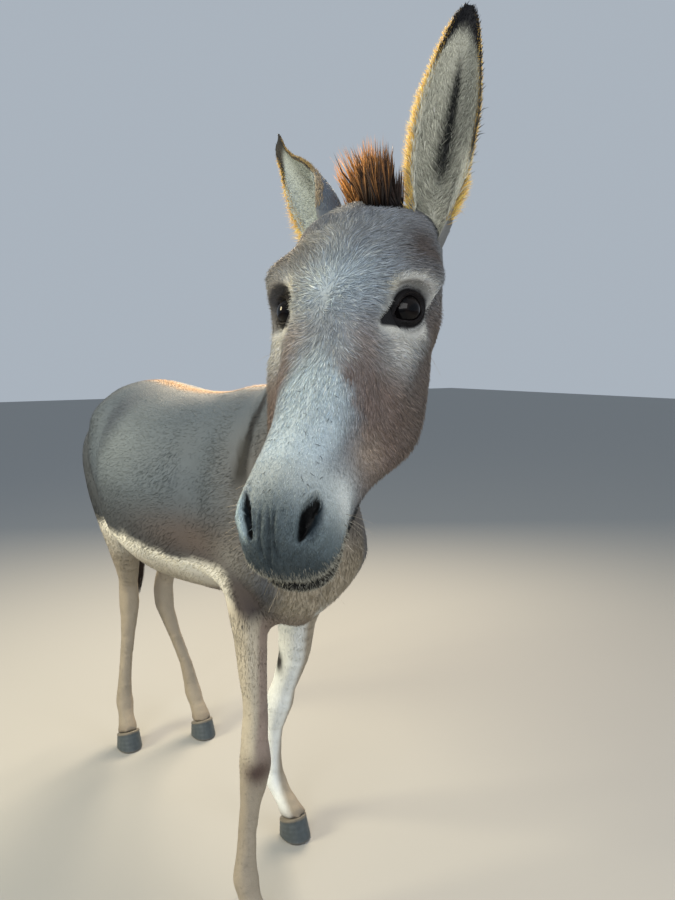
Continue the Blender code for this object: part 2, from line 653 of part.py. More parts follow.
# ------------------------------------------------------------------ hooves
CORONET_HEIGHT = 0.046
CORONET_SLOPE = math.radians(21)
HOOF_TOP = (0.0335, 0.037, 0.036)  # half width, forward, back
HOOF_SOLE = (0.038, 0.050, 0.038)
HOOF_POINTS = 16


def coronet_matrix(name):
    """Frame in the plane where the leg ends and the hoof begins: z out of the hoof, up the leg."""
    x, y, _, *_ = leg_rows(name)[-2]
    return Matrix.Translation((x, y, CORONET_HEIGHT)) @ Matrix.Rotation(-CORONET_SLOPE, 4, "X")


def make_hoof(name):
    place = coronet_matrix(name)
    half_width, forward, back = HOOF_TOP
    top = []
    for across, ahead in oval(half_width, forward, back, 2.1, HOOF_POINTS):
        top.append(place @ Vector((across, -ahead, -GAP)))
    half_width, forward, back = HOOF_SOLE
    x, y, _ = place.translation
    sole = [Vector((x + a, y - 0.008 - u, 0)) for a, u in oval(half_width, forward, back, 2.25, HOOF_POINTS)]
    body = bmesh.new()
    add_loft(body, [top, sole])
    return new_object(name.replace("leg", "hoof"), body, HOOF)


# ------------------------------------------------------------------ parting the flesh
HEAD_CUT = HEAD @ Matrix.Translation((0, -0.030, -0.085)) @ Matrix.Rotation(math.radians(43), 4, "X")
NECK_CUT = Matrix.Translation((0, -0.030, 1.140)) @ Matrix.Rotation(math.radians(59), 4, "X")


def inflated(sources, name="skin"):
    """The pieces joined and grown by the gap: a cutter for what grows out of them."""
    body = bmesh.new()
    for source in sources:
        body.from_mesh(source.data)
    grown = new_object(name, body, COAT)
    points = read_points(grown.data) + read_normals(grown.data) * GAP * 1.5
    grown.data.vertices.foreach_set("co", points.ravel())
    grown.data.update()
    return grown


def centre_on_floor(pieces):
    """Moves the model from the ground under its withers to the ground under its box's middle."""
    points = np.vstack([read_points(piece.data) for piece in pieces])
    middle = (points.min(axis=0) + points.max(axis=0)) / 2
    shift = Matrix.Translation((-middle[0], -middle[1], 0))
    print("moved by", [round(float(-value), 5) for value in middle[:2]])
    for piece in pieces:
        piece.data.transform(shift)
        piece.data.shade_smooth()
        piece.data.set_sharp_from_angle(angle=SHARP_ANGLE)


def main():
    flesh = make_flesh()
    thin_flesh(flesh)
    skin = inflated([flesh])

    head = part_off(flesh, "head", COAT, HEAD_CUT, (-0.2, 0, -0.44), (0.2, 0.56, 0.24))
    part_off(flesh, "neck", COAT, NECK_CUT, (-0.4, -0.5, 0), (0.4, 0.5, 0.8))
    for name, (side, _, cut_high, behind, cut_low) in LEGS.items():
        outside = sorted((0, side * 0.4))
        ends = sorted((behind, behind + 0.75))
        coronet = block(coronet_matrix(name), (-0.08, -0.12, -0.2), (0.08, 0.12, 0))
        cut(flesh, coronet)
        bpy.data.objects.remove(coronet)
        for piece, finish, top in (("lower", PALE_COAT, cut_low), ("upper", COAT, cut_high)):
            part_off(flesh, f"{name}_{piece}", finish, Matrix.Identity(4),
                     (outside[0], ends[0], -0.2), (outside[1], ends[1], top))
        make_hoof(name)
    flesh.name = "trunk"

    for side, word in ((-1, "right"), (1, "left")):
        for cutter in (eyeball("cutter", side, EYE_RADIUS + GAP), lid_opening(side)):
            cut(head, cutter)
            bpy.data.objects.remove(cutter)
        eyeball(f"eye_{word}", side, EYE_RADIUS)
        ear = add_ear(f"ear_{word}", EAR_COAT)
        cut(ear, skin)

    mane = make_mane()
    cut(mane, skin)
    tail = make_tail()
    cut(tail, skin)
    part_off(tail, "tail_tuft", LONG_HAIR, Matrix.Identity(4), (-0.2, 0.9, 0), (0.2, 1.2, TUFT_TOP))
    bpy.data.objects.remove(skin)

    centre_on_floor(list(bpy.context.collection.objects))


main()
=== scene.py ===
# %% [markdown]
# # A donkey at life size
#
# The animal stands square on four hooves, turns its head to its right and holds its long ears up.
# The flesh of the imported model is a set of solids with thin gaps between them. Here one skin takes
# their place, with lids, nostrils and lips worked into it, and a coat of many small tufts grows on it.
# Eyes, hooves, mane and tail hair are pieces of their own. Lengths are metres, +Z is up, and the
# animal faces -Y.

# %% Start
import math

import bmesh
import bpy
import numpy as np
from mathutils import Matrix, Vector
from mathutils.bvhtree import BVHTree


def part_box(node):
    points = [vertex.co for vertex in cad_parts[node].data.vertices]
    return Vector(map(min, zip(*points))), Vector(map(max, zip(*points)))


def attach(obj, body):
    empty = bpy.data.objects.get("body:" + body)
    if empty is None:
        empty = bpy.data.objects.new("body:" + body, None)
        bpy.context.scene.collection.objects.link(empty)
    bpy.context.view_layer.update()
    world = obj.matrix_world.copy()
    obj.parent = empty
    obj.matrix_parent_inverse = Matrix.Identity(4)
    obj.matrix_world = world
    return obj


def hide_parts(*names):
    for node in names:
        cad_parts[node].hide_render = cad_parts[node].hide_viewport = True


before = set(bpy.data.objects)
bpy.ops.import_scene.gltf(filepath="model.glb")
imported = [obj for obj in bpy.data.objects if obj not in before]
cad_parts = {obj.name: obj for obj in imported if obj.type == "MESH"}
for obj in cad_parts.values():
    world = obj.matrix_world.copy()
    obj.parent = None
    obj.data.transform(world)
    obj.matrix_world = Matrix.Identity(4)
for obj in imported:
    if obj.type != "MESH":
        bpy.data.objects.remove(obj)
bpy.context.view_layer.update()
rng = np.random.default_rng(11)

# %% [markdown]
# ## Two frames to work in
#
# A face is hard to describe in the room's axes once the head is turned. So the head has axes of its
# own, with the origin at the poll between the ears: l to the animal's left, n down the face to the
# muzzle and d out of the forehead. They are found from the left eye, whose place in the head is known.
# The body's frame is the room's, with its origin on the ground under the withers.

# %% Head and body frames
HEAD_YAW = math.radians(50.6)  # to the animal's right of straight ahead
FACE_SLOPE = math.radians(47.9)  # of the face below the horizontal
EYE_AXIS = Vector((0.72, 0.38, 0.58)).normalized()  # out of the left eye
CORNEA = Vector((0.0780, 0.1840, -0.0380))
EYE_RADIUS = 0.0195
POLL_FROM_WITHERS = Vector((-0.1765, -0.543, 1.418))
VIEW_RIGHT = np.array((0.825, -0.565, 0.0))  # the camera's right

ahead = Vector((-math.sin(HEAD_YAW), -math.cos(HEAD_YAW), 0))
face_way = ahead * math.cos(FACE_SLOPE) - Vector((0, 0, math.sin(FACE_SLOPE)))
dorsal_way = ahead * math.sin(FACE_SLOPE) + Vector((0, 0, math.cos(FACE_SLOPE)))
HEAD_AXES = np.array(Matrix((dorsal_way.cross(face_way), face_way, dorsal_way)))  # rows l, n, d
eye_low, eye_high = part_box("eye_left")
eye_middle = np.array((eye_low + eye_high) / 2)
POLL = eye_middle - np.array(CORNEA - EYE_AXIS * EYE_RADIUS) @ HEAD_AXES
GROUND = np.array([POLL[0] - POLL_FROM_WITHERS.x, POLL[1] - POLL_FROM_WITHERS.y, 0.0])


def to_head(points):
    return (np.asarray(points, float) - POLL) @ HEAD_AXES.T


def from_head(points):
    return np.asarray(points, float) @ HEAD_AXES + POLL


def mirrored(at):
    """Places in the head's frame, all brought to its left side."""
    return np.abs(at[:, :1]) * (1, 0, 0) + at * (0, 1, 1)


print("poll at", POLL.round(4), "withers over", GROUND.round(4))

# %% [markdown]
# ## Helpers
#
# A mesh of this size is far quicker to move as one array of numbers than point by point. These few
# helpers read a mesh into arrays, write one from arrays, and blend by smooth steps.

# %% Arrays and meshes
def unit(vectors):
    return vectors / np.maximum(np.linalg.norm(vectors, axis=-1, keepdims=True), 1e-9)


def step(value, low, high):
    """0 below `low`, 1 above `high`, and a smooth rise between them (or a fall, if low > high)."""
    share = np.clip((value - low) / (high - low), 0, 1)
    return share * share * (3 - 2 * share)


def bump(value, middle, reach):
    """1 at `middle`, fading smoothly to nothing about twice `reach` away."""
    return np.exp(-(((value - middle) / reach) ** 2))


def blob(points, centre, reach):
    """The same round a point in space, with a reach for each axis."""
    return np.exp(-(((points - np.array(centre)) / np.array(reach)) ** 2).sum(axis=1))


def rows_of(items, what, columns, kind=np.float32):
    """One property of every item of a mesh, a row for each."""
    flat = np.empty(len(items) * columns, kind)
    items.foreach_get(what, flat)
    return flat.reshape(-1, columns)


def points_of(mesh):
    return rows_of(mesh.vertices, "co", 3).astype(float)


def normals_of(mesh):
    return rows_of(mesh.vertex_normals, "vector", 3).astype(float)


def move_points(mesh, points):
    mesh.vertices.foreach_set("co", np.asarray(points, np.float32).ravel())
    mesh.update()


def edges_of(mesh):
    return rows_of(mesh.edges, "vertices", 2, np.int32)


def triangles_of(mesh):
    mesh.calc_loop_triangles()
    return rows_of(mesh.loop_triangles, "vertices", 3, np.int32)


def smooth_faces(mesh):
    mesh.polygons.foreach_set("use_smooth", np.ones(len(mesh.polygons), bool))


def object_of(name, mesh, *materials):
    made = bpy.data.objects.new(name, mesh)
    bpy.context.scene.collection.objects.link(made)
    for finish in materials:
        mesh.materials.append(finish)
    return made


def mesh_from(name, points, triangles):
    mesh = bpy.data.meshes.new(name)
    mesh.vertices.add(len(points))
    mesh.vertices.foreach_set("co", np.asarray(points, np.float32).ravel())
    mesh.loops.add(len(triangles) * 3)
    mesh.loops.foreach_set("vertex_index", np.asarray(triangles, np.int32).ravel())
    mesh.polygons.add(len(triangles))
    mesh.polygons.foreach_set("loop_start", np.arange(len(triangles), dtype=np.int32) * 3)
    mesh.update(calc_edges=True)
    smooth_faces(mesh)
    return mesh


def lofted(rings, around):
    """The four-sided faces between closed rings of points that follow one another."""
    first = np.arange(rings - 1)[:, None] * around + np.arange(around)
    turn = np.roll(np.arange(around), -1) - np.arange(around)
    return np.stack((first, first + turn, first + turn + around, first + around), axis=-1).reshape(-1, 4)


def halved(quads):
    return np.vstack((quads[:, [0, 1, 2]], quads[:, [0, 2, 3]]))


def faced_out(points, triangles):
    """The same triangles, turned if the shape they enclose comes out inside out."""
    corners = points[triangles] - points.mean(axis=0)
    volume = np.einsum("ij,ij->i", corners[:, 0], np.cross(corners[:, 1], corners[:, 2])).sum()
    return triangles if volume > 0 else triangles[:, ::-1]


def paint(mesh, colours, name="hair_colour"):
    """Stores one colour for each point, which materials read by its name."""
    rgba = np.ones((len(colours), 4), np.float32)
    rgba[:, :3] = colours
    mesh.color_attributes.new(name, "FLOAT_COLOR", "POINT").data.foreach_set("color", rgba.ravel())


def select_only(*objects):
    bpy.ops.object.select_all(action="DESELECT")
    for one in objects:
        one.select_set(True)
    if objects:
        bpy.context.view_layer.objects.active = objects[0]


def apply_modifiers(obj):
    select_only(obj)
    for modifier in list(obj.modifiers):
        bpy.ops.object.modifier_apply(modifier=modifier.name)


def drawn_together(points, edges, pulls, weight=1.0):
    """Moves each point by each pull in turn: that share of the way to its neighbours' mean, or away."""
    shape = points.copy()
    count = np.bincount(edges.ravel(), minlength=len(points))[:, None]
    weight = np.broadcast_to(weight, len(points))[:, None]
    for pull in pulls:
        total = np.empty_like(shape)
        for axis in range(3):
            total[:, axis] = np.bincount(edges[:, 0], shape[edges[:, 1], axis], len(points))
            total[:, axis] += np.bincount(edges[:, 1], shape[edges[:, 0], axis], len(points))
        shape += weight * pull * (total / count - shape)
    return shape


def evened(points, edges, pairs):
    """Smooths without shrinking, by drawing points together and pushing them back."""
    return drawn_together(points, edges, (0.5, -0.53) * pairs)


def softened(points, edges, rounds, weight):
    """Rounds a hard edge off, most where the weight is greatest."""
    return drawn_together(points, edges, (0.5,) * rounds, weight)


def noise(points, size, seed=0):
    """Smooth random values from 0 to 1 that change over about `size` metres."""
    at = points / size + 17.3 * (seed + 1)
    cell = np.floor(at).astype(np.int64)
    part = at - cell
    part = part * part * (3 - 2 * part)
    found = np.zeros(len(points))
    for corner in np.ndindex(2, 2, 2):
        key = (cell + corner) @ np.array([73856093, 19349663, 83492791])
        key = (key ^ (key >> 13)) * 1274126177
        value = ((key ^ (key >> 16)) & 0xFFFF) / 0xFFFF
        weight = np.where(corner, part, 1 - part).prod(axis=1)
        found += value * weight
    return found


def srgb(*colours):
    """A screen colour from 0 to 255, as the linear colour that materials take."""
    value = np.array(colours, float) / 255
    return np.where(value <= 0.04045, value / 12.92, ((value + 0.055) / 1.055) ** 2.4)

# %% [markdown]
# ## The skin, from the solids of flesh
#
# Head, neck, trunk, tail and legs are joined and swollen by just more than the gaps between them. A
# voxel remesh then makes one closed surface of even squares. A remesh fine enough for eyelids would
# give millions of faces, so it is coarse, and only the legs and the head are cut finer afterwards. The
# new points are laid back onto the solids and evened out, which removes the solids' facets and keeps
# their form.

# %% One skin over all the flesh
FLESH = ["head", "neck", "trunk", "tail"]
FLESH += [f"{pair}leg_{side}_{half}" for pair in ("fore", "hind") for side in ("left", "right")
          for half in ("upper", "lower")]
SKIN_VOXEL = 0.0146
OVERLAP = 0.0006  # by which each solid is swollen into its neighbours


def joined_flesh(grow):
    body = bmesh.new()
    for name in [*FLESH, "eye_left", "eye_right"]:  # the eyeballs fill their sockets for now
        body.from_mesh(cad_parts[name].data)
    bmesh.ops.remove_doubles(body, verts=body.verts, dist=1e-5)
    body.normal_update()
    for vert in body.verts:
        vert.co += vert.normal * grow
    return body


swollen = joined_flesh(OVERLAP)
skin_mesh = bpy.data.meshes.new("skin")
swollen.to_mesh(skin_mesh)
flesh_tree = BVHTree.FromBMesh(swollen)
swollen.free()
skin = object_of("skin", skin_mesh)
remesh = skin.modifiers.new("one_surface", "REMESH")
remesh.mode = "VOXEL"
remesh.voxel_size = SKIN_VOXEL
apply_modifiers(skin)
print("skin after the remesh:", len(skin.data.polygons), "faces")


# %% Finer faces on legs and head
def near_head(points):
    at = to_head(points)
    return (at[:, 1] > -0.03) & (np.abs(at[:, 0]) < 0.14) & (np.abs(at[:, 2] + 0.10) < 0.16)


def near_leg(points):
    return points[:, 2] < 0.50


def refine(inside):
    """Cuts each face that lies in a region into four."""
    marked = inside(points_of(skin.data))
    body = bmesh.new()
    body.from_mesh(skin.data)
    edges = [e for e in body.edges if marked[e.verts[0].index] and marked[e.verts[1].index]]
    bmesh.ops.subdivide_edges(body, edges=edges, cuts=1, use_grid_fill=True)
    body.to_mesh(skin.data)
    body.free()


def laid_on_flesh(points):
    return np.array([flesh_tree.find_nearest(Vector(p))[0] for p in points])


def near_eye(at, reach):
    return np.linalg.norm(at - np.array(CORNEA), axis=1) < reach


def near_detail(points):
    """Round the eyes, and over the nostrils and lips."""
    at = mirrored(to_head(points))
    return near_eye(at, 0.036) | ((at[:, 1] > 0.395) & (at[:, 0] < 0.062) & (at[:, 2] > -0.132))


def near_hole(points):
    """Close round eyes and nostrils, where the edges are sharpest."""
    at = mirrored(to_head(points))
    from_nostril = (at - (0.028, 0.448, -0.029)) / (1, 1, 0.9)
    return near_eye(at, 0.033) | (np.linalg.norm(from_nostril, axis=1) < 0.031)


refine(lambda points: near_head(points) | near_leg(points))
refine(near_head)
for rounds, finer in ((12, (near_detail, near_hole)), (30, ())):
    points = laid_on_flesh(points_of(skin.data))
    move_points(skin.data, evened(points, edges_of(skin.data), rounds))
    for region in finer:
        refine(region)
print("skin with finer legs and head:", len(skin.data.polygons), "faces")

# %% [markdown]
# ## Skin: laid under the coat and given its folds
#
# What the solids show is the outside of the coat, so the skin goes in by the coat's depth: most on the
# body, least on the muzzle, where the hair is shortest. Then the soft parts are worked. The lids are
# drawn over each eyeball at an even thickness and opened along an almond with a long front corner.
# Nostrils are deep commas with raised rims. The mouth is a groove, and fine wrinkles cross the muzzle.

# %% The coat's depth, taken off the skin
EYE_CORNERS = np.array((0.62, -0.74, -0.26))  # from the front corner of the left lids to the rear


def eye_frame(side):
    """The eyeball's centre and rows x (to the rear corner), y (up the face) and z (out), in the head."""
    mirror = np.array((side, 1, 1))
    out = np.array(EYE_AXIS) * mirror
    centre = np.array(CORNEA) * mirror - out * EYE_RADIUS
    back = EYE_CORNERS * mirror
    back = unit(back - out * back.dot(out))
    up = np.cross(out, back)
    return centre, np.array((back, up * np.sign(up[2]), out))


def to_eye(points, side):
    centre, axes = eye_frame(side)
    return (to_head(points) - centre) @ axes.T


def from_eye(local, side):
    centre, axes = eye_frame(side)
    return from_head(local @ axes + centre)


def on_head(points):
    """1 on the head, 0 on neck and body."""
    at = to_head(points)
    front = step(at[:, 1] + 0.25 * np.minimum(at[:, 2] + 0.10, 0), -0.03, 0.03)
    return front * step(at[:, 2], -0.240, -0.205) * step(np.abs(at[:, 0]), 0.16, 0.13) * (at[:, 1] < 0.55)


COAT_DEPTH = 0.0030  # on the body; less of it on the head, the legs and the muzzle
LESS_ON_HEAD, LESS_ON_LEG, LESS_ON_MUZZLE = 0.0016, 0.0014, 0.0008


def coat_depth(points):
    at = to_head(points)
    head = on_head(points)
    leg = step(points[:, 2], 0.62, 0.45) * (1 - head)
    muzzle = step(at[:, 1], 0.33, 0.44) * head
    return COAT_DEPTH - LESS_ON_HEAD * head - LESS_ON_LEG * leg - LESS_ON_MUZZLE * muzzle


points = points_of(skin.data)
depth = coat_depth(points)
points -= normals_of(skin.data) * depth[:, None]
print("skin drawn in by", depth.min().round(4), "to", depth.max().round(4))

# %% Lids
LID_ANGLES = np.radians((0, 25, 55, 90, 120, 145, 162, 172, 180, 188, 200, 220, 245, 270, 300, 332, 360))
LID_REACH = 0.001 * np.array(
    (17.6, 16.6, 15.6, 15.2, 15.0, 15.8, 18.4, 21.8, 25.0, 22.0, 18.2, 15.4, 14.2, 13.9, 14.6, 16.4, 17.6)
)
LID_THICKNESS = 0.0018
SOCKET_ROUNDS = 40  # of softening, which draws the socket's edge out into the brow
LID_BOWL = 0.032  # from the eye's axis to where the lids have run out into the face
LID_FOLDS = (  # height, place and width in shares of the lids' edge, and whether on the upper lid
    (-0.0015, 1.34, 0.06, True), (0.0012, 1.18, 0.09, True), (-0.0010, 1.28, 0.05, False),
    (-0.0009, 1.46, 0.05, False), (0.0007, 1.13, 0.09, False),
)


def lid_edge(angle):
    return np.interp(angle % (2 * math.pi), LID_ANGLES, LID_REACH)


def lid_surface(away, thickness=LID_THICKNESS):
    reach = EYE_RADIUS + thickness
    return np.sqrt(np.maximum(reach**2 - away**2, (0.5 * reach) ** 2))


def eye_bowl(points, side):
    """Places beside the eye: in its frame, away from its axis, and whether they are on the lids' bowl."""
    local = to_eye(points, side)
    away = np.hypot(local[:, 0], local[:, 1])
    return local, away, (away < LID_BOWL) & (local[:, 2] > -0.006)


def relaxed_lids(points, edges):
    """Spreads the points round each eye evenly over the bowl, where the solid head has its opening."""
    near_any = np.zeros(len(points))
    socket = np.zeros(len(points))
    for side in (-1, 1):
        local, away, near = eye_bowl(points, side)
        near_any += near
        socket += step(away, 0.021, 0.026) * step(away, 0.056, 0.040) * (local[:, 2] > -0.02)
    for _ in range(8):
        points = softened(points, edges, 6, near_any)
        for side in (-1, 1):
            local, away, near = eye_bowl(points, side)
            blend = step(away, 0.0290, 0.0225) * near
            local[:, 2] += blend * (lid_surface(away) - local[:, 2])
            points = np.where(near[:, None], from_eye(local, side), points)
    return softened(points, edges, SOCKET_ROUNDS, socket)


def sculpt_lids(points, side):
    local, away, near = eye_bowl(points, side)
    border = lid_edge(np.arctan2(local[:, 1], local[:, 0]))
    share = away / border
    pulled = np.where(np.abs(share - 1) < 0.05, 1.0, share)
    scale = np.where(near, pulled / np.maximum(share, 1e-6), 1)
    local[:, :2] *= scale[:, None]
    away = away * scale
    blend = step(away, 0.0300, 0.0235) * near
    upper = step(local[:, 1], -0.004, 0.006)
    fold = np.zeros(len(share))
    for height, middle, width, upper_lid in LID_FOLDS:
        fold += height * bump(share, middle, width) * (upper if upper_lid else 1 - upper)
    inner = np.sqrt(np.maximum((EYE_RADIUS - 0.0025) ** 2 - away**2, 0.0075**2))
    height = np.where(pulled < 1, inner, lid_surface(away) + fold)
    local[:, 2] += blend * (height - local[:, 2])
    return np.where(near[:, None], from_eye(local, side), points)


points = relaxed_lids(points, edges_of(skin.data))
for side in (-1, 1):
    points = sculpt_lids(points, side)
print("lids drawn over", EYE_RADIUS, "eyeballs,", LID_THICKNESS, "thick")

# %% Nostrils, mouth and wrinkles
NOSTRIL = np.array(((0.0400, 0.4290, -0.0150), (0.0370, 0.4420, -0.0225), (0.0335, 0.4540, -0.0290),
                    (0.0290, 0.4640, -0.0350), (0.0245, 0.4700, -0.0410)))
NOSTRIL_WIDTH = np.array((0.0032, 0.0062, 0.0074, 0.0058, 0.0028))
NOSTRIL_WING = np.array(((0.0460, 0.4110, -0.0210), (0.0540, 0.4280, -0.0260), (0.0550, 0.4480, -0.0330),
                         (0.0500, 0.4640, -0.0430), (0.0400, 0.4730, -0.0510)))
MUZZLE_FOLDS = ((-0.0115, 0.0017, -0.066), (-0.0045, 0.0021, -0.078), (0.0030, 0.0016, -0.062))
RIDGES = (  # height, width and line: each wing's edge, the groove beside it, the cheek's crest, its vein
    (0.0014, 0.0035, NOSTRIL_WING), (-0.0012, 0.0030, NOSTRIL_WING + (0.0065, -0.0030, -0.0060)),
    (0.0016, 0.008, np.array(((0.085, 0.235, -0.072), (0.070, 0.290, -0.078), (0.060, 0.320, -0.080)))),
    (0.0010, 0.0032, np.array(((0.080, 0.225, -0.055), (0.062, 0.262, -0.062), (0.052, 0.300, -0.072),
                               (0.050, 0.345, -0.080)))),
)
NOSTRIL_DEPTH, MOUTH_DEPTH = 0.013, 0.0035
FOLD_DEPTH, WRINKLE_DEPTH = 0.0022, 0.0003
LOWER_LIP, UPPER_LIP = 0.0070, 0.0020  # how far the lower lip stands out and the upper one draws in
MOUTH = np.array(((0.0, 0.4790, -0.1040), (0.0150, 0.4740, -0.1045), (0.0300, 0.4600, -0.1065),
                  (0.0370, 0.4320, -0.1100), (0.0400, 0.4060, -0.1150), (0.0410, 0.3920, -0.1190)))


def along_line(at, line):
    """Each point's distance from a line of segments, and where along the line it is, from 0 to 1."""
    best = np.full(len(at), np.inf)
    place = np.zeros(len(at))
    for i, (start, end) in enumerate(zip(line, line[1:])):
        run = end - start
        share = np.clip((at - start) @ run / (run @ run), 0, 1)
        distance = np.linalg.norm(at - start - share[:, None] * run, axis=1)
        closer = distance < best
        best = np.where(closer, distance, best)
        place = np.where(closer, (i + share) / (len(line) - 1), place)
    return best, place


def nostril_place(points):
    distance, share = along_line(mirrored(to_head(points)), NOSTRIL)
    return distance / np.interp(share, np.linspace(0, 1, len(NOSTRIL)), NOSTRIL_WIDTH), share


def nostril_side(middle):
    """How far a place lies to the outer side of the nostril's line."""
    run = unit(NOSTRIL[-2] - NOSTRIL[0])
    outward = unit(np.cross(run, (0, 0.45, 1.0)))
    return (middle - NOSTRIL[2]) @ (outward * np.sign(outward[0]))


def mouth_place(points):
    return along_line(mirrored(to_head(points)), MOUTH)


def muzzle_folds(at):
    """The upright folds in the skin between the nostrils, 1 at the bottom of each."""
    l, n, d = at.T
    fold = np.zeros(len(at))
    for place, width, low in MUZZLE_FOLDS:
        middle = place + 0.0016 * np.sin(d / 0.011 + place * 400)
        fold += bump(l, middle, width) * step(d, low, low + 0.016)
    return fold * step(n, 0.446, 0.462) * (d > -0.10)


def sculpt_muzzle(points, normals):
    at = to_head(points)
    middle = mirrored(at)
    l, n, d = at.T
    across, share = nostril_place(points)
    hollow = -NOSTRIL_DEPTH * np.exp(-(across**3)) + 0.0022 * bump(across, 1.75, 0.42) * step(share, 1.0, 0.8)
    hollow -= 0.0034 * bump(across, 1.1, 0.9) * step(nostril_side(middle), -0.001, 0.007)
    for height, width, line in RIDGES:
        away, _ = along_line(middle, line)
        hollow += height * bump(away, 0, width)
    gap, _ = mouth_place(points)
    hollow += -MOUTH_DEPTH * bump(gap, 0, 0.0026) + 0.0010 * bump(gap, 0.0075, 0.003)
    lines = np.sin(l / 0.0016 + 3.0 * np.sin(n / 0.019) + 2.0 * noise(points, 0.012))
    lip_front = step(middle[:, 0], 0.020, 0.012) * step(n, 0.44, 0.46) * step(d, -0.095, -0.080)
    hollow += WRINKLE_DEPTH * lines * lip_front
    hollow -= FOLD_DEPTH * muzzle_folds(at)
    chin = blob(middle, (0.0, 0.470, -0.128), (0.026, 0.020, 0.014))
    hollow += 0.0004 * chin * np.sin(d / 0.0011 + 5 * noise(points, 0.010, 2))
    corner = blob(middle, (0.040, 0.386, -0.118), (0.010, 0.012, 0.012))
    hollow += 0.0007 * corner * np.sin((n + d) / 0.0012)
    lower = step(d, -0.1030, -0.1080) * step(d, -0.152, -0.132) * step(n, 0.375, 0.415)
    upper = bump(d, -0.092, 0.012) * step(n, 0.38, 0.42)
    out = unit(np.column_stack((l / 0.036, (n - 0.425) / 0.045, np.full(len(l), -0.2))))
    lips = out * (LOWER_LIP * lower - UPPER_LIP * upper)[:, None]
    return points + normals * hollow[:, None] + lips @ HEAD_AXES


move_points(skin.data, points)
skin_plain = points  # markings are told by where the skin was before nostrils and lips were pressed in
sculpted = sculpt_muzzle(points, normals_of(skin.data))
print("nostrils and mouth pressed in by up to", np.abs(sculpted - points).max().round(4))

# %% The last shape of cheeks, belly and legs
CHEEK_IN, TEMPLE_IN = 0.0105, 0.0040  # how far the skin is drawn in there
BEHIND_EYE = (  # share of CHEEK_IN, middle and reach of the hollows behind the left eye
    (0.75, (0.106, 0.168, -0.066), (0.026, 0.026, 0.022)),
    (1.7, (0.100, 0.146, -0.076), (0.026, 0.030, 0.017)),
)
FOREARM = np.array((-0.095, -0.075, 0))  # the front edge of the right forearm
FOREARM_SLIM = 0.24  # the share by which that forearm is drawn in towards this edge
# Places from front to back or from the ground up, and how far the skin is moved at each
BELLY_TUCK = ((0.03, 0.10, 0.20, 0.30, 0.48, 0.66), (0, 0.034, 0.036, 0.031, 0.014, 0))
RIGHT_FORE_SHIFT = ((0.22, 0.36, 0.46, 0.76, 0.87), (0, 0.006, 0.015, 0.021, 0))
LEFT_FORE_SHIFT = ((0.50, 0.60, 0.70, 0.80), (0, 0.018, 0.018, 0))
LEFT_HIND_SHIFT = ((0.22, 0.40, 0.60, 0.76), (0, 0.022, 0.026, 0))


def face_in_pose(points):
    """The muzzle drawn to the head's right, and cheeks and temples drawn in."""
    at = to_head(points)
    l, n, d = at.T
    drawn = step(n, 0.32, 0.42) * (0.0115 * step(l, -0.060, -0.012) + 0.0030 * step(l, 0.015, 0.055))
    eye_away = np.linalg.norm(mirrored(at) - eye_frame(1)[0], axis=1)
    cheek = step(eye_away, 0.030, 0.075) * step(d, -0.030, -0.095) * step(d, -0.205, -0.160)
    cheek = cheek * step(n, 0.130, 0.165) * step(n, 0.32, 0.22) * step(l, -0.10, 0.07)
    for share, middle, reach in BEHIND_EYE:
        cheek += share * blob(at, middle, reach) * step(eye_away, 0.022, 0.036)
    temple = blob(mirrored(at), (0.096, 0.080, -0.045), (0.03, 0.045, 0.04))
    drawn = drawn + np.sign(l) * (CHEEK_IN * cheek + TEMPLE_IN * temple)
    return points - (drawn * on_head(points))[:, None] * HEAD_AXES[0]


def body_in_pose(points):
    """The belly drawn up and three legs moved along the camera's right, all by smooth amounts."""
    b = points - GROUND
    tuck = np.interp(b[:, 1], *BELLY_TUCK) * step(b[:, 2], 0.80, 0.69) * step(b[:, 2], 0.58, 0.62)
    points = points + tuck[:, None] * (0, 0, 1.0)
    x, y, z = (points - GROUND).T
    right, left = step(x, 0.0, -0.03), step(x, 0.0, 0.03)
    reach = (FOREARM - b) @ VIEW_RIGHT
    slim = np.clip(reach, 0, None) * FOREARM_SLIM * step(reach, 0.15, 0.09)
    slim = slim * step(z, 0.80, 0.70) * step(z, 0.38, 0.50)
    shift = right * step(y, 0.16, 0.08) * (slim + np.interp(z, *RIGHT_FORE_SHIFT))
    shift -= left * step(y, 0.30, 0.20) * np.interp(z, *LEFT_FORE_SHIFT)
    shift -= left * step(y, 0.50, 0.58) * np.interp(z, *LEFT_HIND_SHIFT)
    return points + shift[:, None] * VIEW_RIGHT


posed = body_in_pose(face_in_pose(sculpted))
move_points(skin.data, posed)
print("skin moved into its last shape by up to", np.abs(posed - sculpted).max().round(4))

# %% [markdown]
# ## Ears
#
# An ear is a tall scoop of cartilage: narrow and nearly closed at the base, widest a third of the way
# up, and flat at the tip. Each is lofted from rows that hold its width, depth and wrap, as fine rings,
# with a fold down the middle of the inside. The ears join the skin's mesh, and their bases sink into
# the skull. Every point keeps its place on the ear, which the markings and the lie of the hair need.

# %% Ears
# share of the length, half width, depth of the cup, thickness, degrees that the lips wrap round
EAR_ROWS = np.array((
    (-0.14, 0.017, 0.016, 0.007, 150), (0.00, 0.030, 0.028, 0.008, 138), (0.08, 0.034, 0.031, 0.008, 124),
    (0.18, 0.039, 0.034, 0.008, 107), (0.30, 0.043, 0.034, 0.007, 94), (0.42, 0.0445, 0.032, 0.0065, 86),
    (0.55, 0.043, 0.028, 0.006, 80), (0.67, 0.037, 0.022, 0.006, 76), (0.78, 0.030, 0.016, 0.0055, 72),
    (0.88, 0.022, 0.010, 0.005, 70), (0.95, 0.015, 0.006, 0.005, 70), (1.00, 0.006, 0.0035, 0.004, 70),
))
